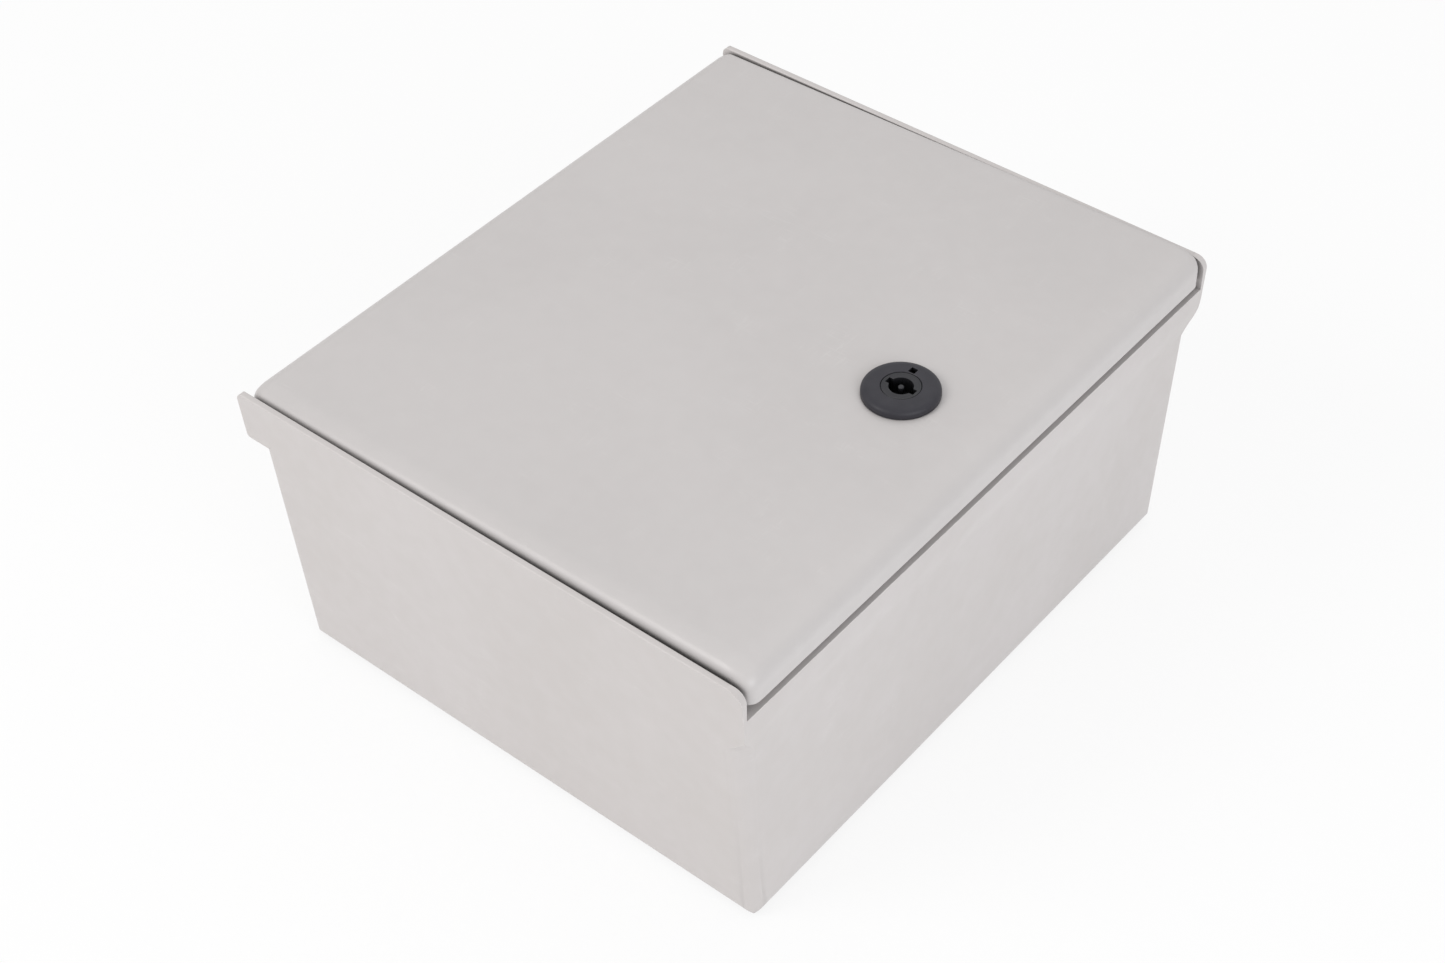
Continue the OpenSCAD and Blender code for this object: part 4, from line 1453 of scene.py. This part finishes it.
@dataclass
class Hardware:
    """All pan-head screws: each kind is modelled once and copied."""

    bench: Bench
    plate_top: float = 16.0
    plate_screw: Point = (80.0, 105.0)
    rail_y: float = 24.0
    rail_screw_x: float = 62.5
    switch_x: float = -12.0
    pole: float = 17.5
    stop_top: float = 34.0
    stop_middle: float = 5.5
    earth_y: float = -84.0
    earth_top: float = 46.0
    earth_pitch: float = 12.0
    earth_count: int = 9
    terminal_lift: float = 0.6
    support: Place = (59.0, 14.0, 4.0)
    turn: float = 0.7
    first_turn: float = 0.3

    @property
    def sets(self) -> dict[str, tuple[Screw, list[Place]]]:
        """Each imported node's kind of screw and the seats of its screws."""
        stop, middle = 2 * self.pole + self.stop_middle, (self.earth_count - 1) / 2
        terminals = [(i - middle) * self.earth_pitch for i in range(self.earth_count)]
        reach, across, lower = self.support
        ends = (-reach, reach)
        rail_screws = (-self.rail_screw_x, self.rail_screw_x)
        stops = (self.switch_x - stop, self.switch_x + stop)
        rail, top, lift = self.rail_y, self.earth_top, self.earth_top + self.terminal_lift
        foot = (self.earth_y + across, self.plate_top + lower)
        return {
            "plate_screws": (Screw(4.0, 2.6, 1.65, 8.0), corners(*self.plate_screw, self.plate_top)),
            "rail_screws": (Screw(4.4, 2.8, 2.0, 3.6), [(x, rail, self.plate_top + 1) for x in rail_screws]),
            "end_stop_screws": (Screw(3.4, 2.4, 1.7, 17.0), [(x, rail, self.stop_top) for x in stops]),
            "earth_terminal_screws": (
                Screw(3.4, 2.6, 1.95, 3.4), [(x, self.earth_y, lift) for x in terminals]
            ),
            "earth_bar_screws": (Screw(3.6, 2.6, 1.95, 18.0), [(x, self.earth_y, top) for x in ends]),
            "support_screws": (Screw(3.4, 2.4, 1.65, 6.0), [(x, *foot) for x in ends]),
        }

    def build(self) -> None:
        """Models each kind and sets its copies in their seats, each turned a little further."""
        bench = self.bench
        for node, (kind, seats) in self.sets.items():
            first = kind.model(bench)
            copies = [bench.copy(first, "screw") for _ in seats]
            for i, (copy, seat) in enumerate(zip(copies, seats)):
                bench.hang(copy, moved(*seat) @ Matrix.Rotation(self.turn * i + self.first_turn, 4, "Z"))
            bpy.data.objects.remove(first, do_unlink=True)
            bench.done(bench.join(f"{node}_finished", *copies), "enclosure", ZINC, node)


# ---- Pieces that keep their packed form ----


@dataclass(frozen=True)
class Eased:
    """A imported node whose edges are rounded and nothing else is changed."""

    node: str
    body: str
    finish: Finish
    radius: float


EASED = (
    Eased("enclosure_body", "enclosure", SHELL, 0.35),
    Eased("boss_inserts", "enclosure", BRASS, 0.2),
    Eased("mounting_plate", "enclosure", ZINC, 0.2),
    Eased("din_rail", "enclosure", ZINC, 0.15),
    Eased("hinge_pin_lower", "door", STAINLESS, 0.15),
    Eased("hinge_pin_upper", "door", STAINLESS, 0.15),
    Eased("lock_cam", "lock_rotor", ZINC, 0.3),
    Eased("cam_washer", "lock_rotor", ZINC, 0.12),
    Eased("cam_screw", "lock_rotor", ZINC, 0.2),
    Eased("switch_base", "enclosure", SWITCH_SHELL, 0.3),
    Eased("switch_cover", "enclosure", SWITCH_SHELL, 0.35),
    Eased("switch_cover_screws", "enclosure", ZINC, 0.06),
    Eased("fixed_jaws", "enclosure", COPPER, 0.1),
    Eased("hinge_clips", "enclosure", COPPER, 0.1),
    Eased("terminal_cages", "enclosure", ZINC, 0.25),
    Eased("terminal_screws", "enclosure", ZINC, 0.12),
    Eased("rail_clip", "rail_foot", BLACK, 0.25),
    Eased("switch_shaft", "switch_rotor", BLACK, 0.15),
    Eased("contact_blades", "switch_rotor", COPPER, 0.15),
    Eased("toggle_handle", "switch_rotor", BLACK, 0.25),
    Eased("end_stops", "enclosure", SWITCH_SHELL, 0.35),
    Eased("earth_bar", "enclosure", BRASS, 0.25),
    Eased("earth_supports", "enclosure", GREEN, 0.35),
)


def ease_nodes(bench: Bench) -> None:
    """Rounds the edges of every node in the list."""
    for entry in EASED:
        bench.done(bench.eased_copy(entry.node, entry.radius), entry.body, entry.finish, entry.node)


# ---- Marks ----


@dataclass
class Marks:
    """Raised terminal numbers and on and off signs on the switch."""

    bench: Bench
    switch: Point = (-12.0, 24.0)
    pole: float = 17.5
    terminal: Place = (-5.6, 35.5, 70.0)
    sign: Place = (5.0, 18.4, 83.0)
    letter: float = 3.0
    relief: float = 0.12
    sunk: float = 0.02

    def build(self) -> None:
        """Writes a number beside every terminal and I and O on each pole."""
        signs = []
        for index, pole in enumerate((-1.5, -0.5, 0.5, 1.5)):
            x = pole * self.pole
            for text, side, place in (
                (str(2 * index + 1), 1, self.terminal),
                (str(2 * index + 2), -1, self.terminal),
                ("I", 1, self.sign),
                ("O", -1, self.sign),
            ):
                signs.append(self._sign(text, x + place[0], side * place[1], place[2]))
        self.bench.done(self.bench.join("switch_marks", *signs), "enclosure", INK)

    def _sign(self, text: str, x: float, y: float, z: float) -> Piece:
        """Writes one sign flat on the switch.

        Args:
            text: What it says.
            x: Its centre across the switch.
            y: Its centre along the switch.
            z: The height of the face that it is on.

        Returns:
            The sign, as a mesh.
        """
        self.bench.clear()
        bpy.ops.object.text_add()
        sign = bpy.context.object
        sign.data.body = text
        sign.data.size = self.letter * MM
        sign.data.extrude = self.relief / 2 * MM
        sign.data.align_x = sign.data.align_y = "CENTER"
        bpy.ops.object.convert(target="MESH")
        sign = bpy.context.object
        self.bench.hang(sign, moved(self.switch[0] + x, self.switch[1] + y, z + self.relief / 2 - self.sunk))
        return sign


# ---- Studio ----


@dataclass(frozen=True)
class Lamp:
    """A soft square lamp that faces the box."""

    name: str
    place: Place
    size: float
    power: float
    colour: Colour


@dataclass
class Studio:
    """A pale floor, soft lamps and the camera."""

    eye: Place = (0.47226, -0.57149, 0.76636)
    azimuth: float = 41.34
    elevation: float = 44.08
    roll: float = 2.12
    focal_pixels: float = 2458.2
    centre_pixels: Point = (681.03, 491.91)
    frame_pixels: tuple[int, int] = (1445, 963)
    sensor: float = 36.0
    ambient: float = 0.76
    floor_tone: float = 0.96
    floor_glow: float = 0.84
    floor_radius: float = 9.0
    floor_level: float = -0.0002
    aim: Place = (0.0, 0.0, 0.07)
    lamps: tuple[Lamp, ...] = (
        Lamp("key lamp", (-0.9, -1.5, 1.5), 1.0, 14.0, (1.0, 0.98, 0.955)),
        Lamp("fill lamp", (1.7, -0.7, 1.0), 1.2, 12.0, (0.94, 0.965, 1.0)),
        Lamp("top lamp", (-0.3, 0.8, 2.0), 1.6, 4.5, (1.0, 1.0, 1.0)),
    )

    def build(self) -> None:
        """Builds the floor, the lamps, the world and the camera."""
        self._floor()
        for lamp in self.lamps:
            self._lamp(lamp)
        self._world()
        self._camera()
        bpy.context.scene.view_settings.view_transform = "Standard"

    def _floor(self) -> None:
        """Builds a wide pale floor at the back face's level."""
        bpy.ops.mesh.primitive_circle_add(
            vertices=96, radius=self.floor_radius, fill_type="NGON", location=(0, 0, self.floor_level)
        )
        floor = bpy.context.object
        floor.name = "floor"
        made = bpy.data.materials.new("floor")
        paper = NodePaper.fresh(made)
        grey = (self.floor_tone,) * 3
        matt = paper.node("ShaderNodeBsdfDiffuse", {"Color": (*grey, 1.0)})
        glow = paper.node("ShaderNodeEmission", {"Strength": 1.0})
        mix = paper.node("ShaderNodeMixShader")
        share = paper.math("MULTIPLY", paper.seen(), self.floor_glow)
        for socket, value in zip(mix.inputs, (share, matt.outputs[0], glow.outputs[0])):
            paper.feed(socket, value)
        paper.node("ShaderNodeOutputMaterial", {"Surface": mix.outputs[0]})
        floor.data.materials.append(made)

    def _lamp(self, lamp: Lamp) -> None:
        """Hangs one soft lamp.

        Args:
            lamp: The lamp.
        """
        data = bpy.data.lights.new(lamp.name, "AREA")
        data.color, data.energy, data.size = lamp.colour, lamp.power, lamp.size
        made = bpy.data.objects.new(lamp.name, data)
        made.location = lamp.place
        made.rotation_euler = (Vector(self.aim) - made.location).to_track_quat("-Z", "Y").to_euler()
        bpy.context.scene.collection.objects.link(made)

    def _world(self) -> None:
        """Lights everything evenly, and shows white to the camera."""
        world = bpy.data.worlds.new("studio")
        paper = NodePaper.fresh(world)
        strength = paper.math("MULTIPLY_ADD", paper.seen(), 1.0 - self.ambient, self.ambient)
        back = paper.node("ShaderNodeBackground", {"Strength": strength})
        paper.node("ShaderNodeOutputWorld", {"Surface": back.outputs[0]})
        bpy.context.scene.world = world

    def _camera(self) -> None:
        """Sets the camera at its place, with its small shift."""
        across, up = math.radians(self.azimuth), math.radians(self.elevation)
        ahead = Vector((-math.sin(across) * math.cos(up), math.cos(across) * math.cos(up), -math.sin(up)))
        level = ahead.cross(Vector((0, 0, 1))).normalized()
        high = level.cross(ahead)
        tilt = math.radians(self.roll)
        right = level * math.cos(tilt) - high * math.sin(tilt)
        data = bpy.data.cameras.new("camera")
        data.sensor_width = self.sensor
        wide, tall = self.frame_pixels
        data.lens = self.focal_pixels / wide * self.sensor
        data.shift_x = (wide / 2 - self.centre_pixels[0]) / wide
        data.shift_y = (self.centre_pixels[1] - tall / 2) / wide
        data.clip_start, data.clip_end = 0.01, 50.0
        camera = bpy.data.objects.new("camera", data)
        turn = Matrix((right, right.cross(ahead), -ahead)).transposed()
        camera.matrix_world = Matrix.Translation(self.eye) @ turn.to_4x4()
        bpy.context.scene.collection.objects.link(camera)
        bpy.context.scene.camera = camera


def main() -> None:
    """Builds and dresses every piece, then the studio."""
    logging.basicConfig(level=logging.INFO, format="%(name)s: %(message)s")
    finisher = Finisher()
    bench = Bench(finisher)
    door = Door(bench)
    door.build()
    Lock(bench, door).build()
    Hardware(bench).build()
    ease_nodes(bench)
    Marks(bench).build()
    finisher.dress_node("lock_seal", FOAM)
    Studio().build()


if __name__ == "__main__":
    main()
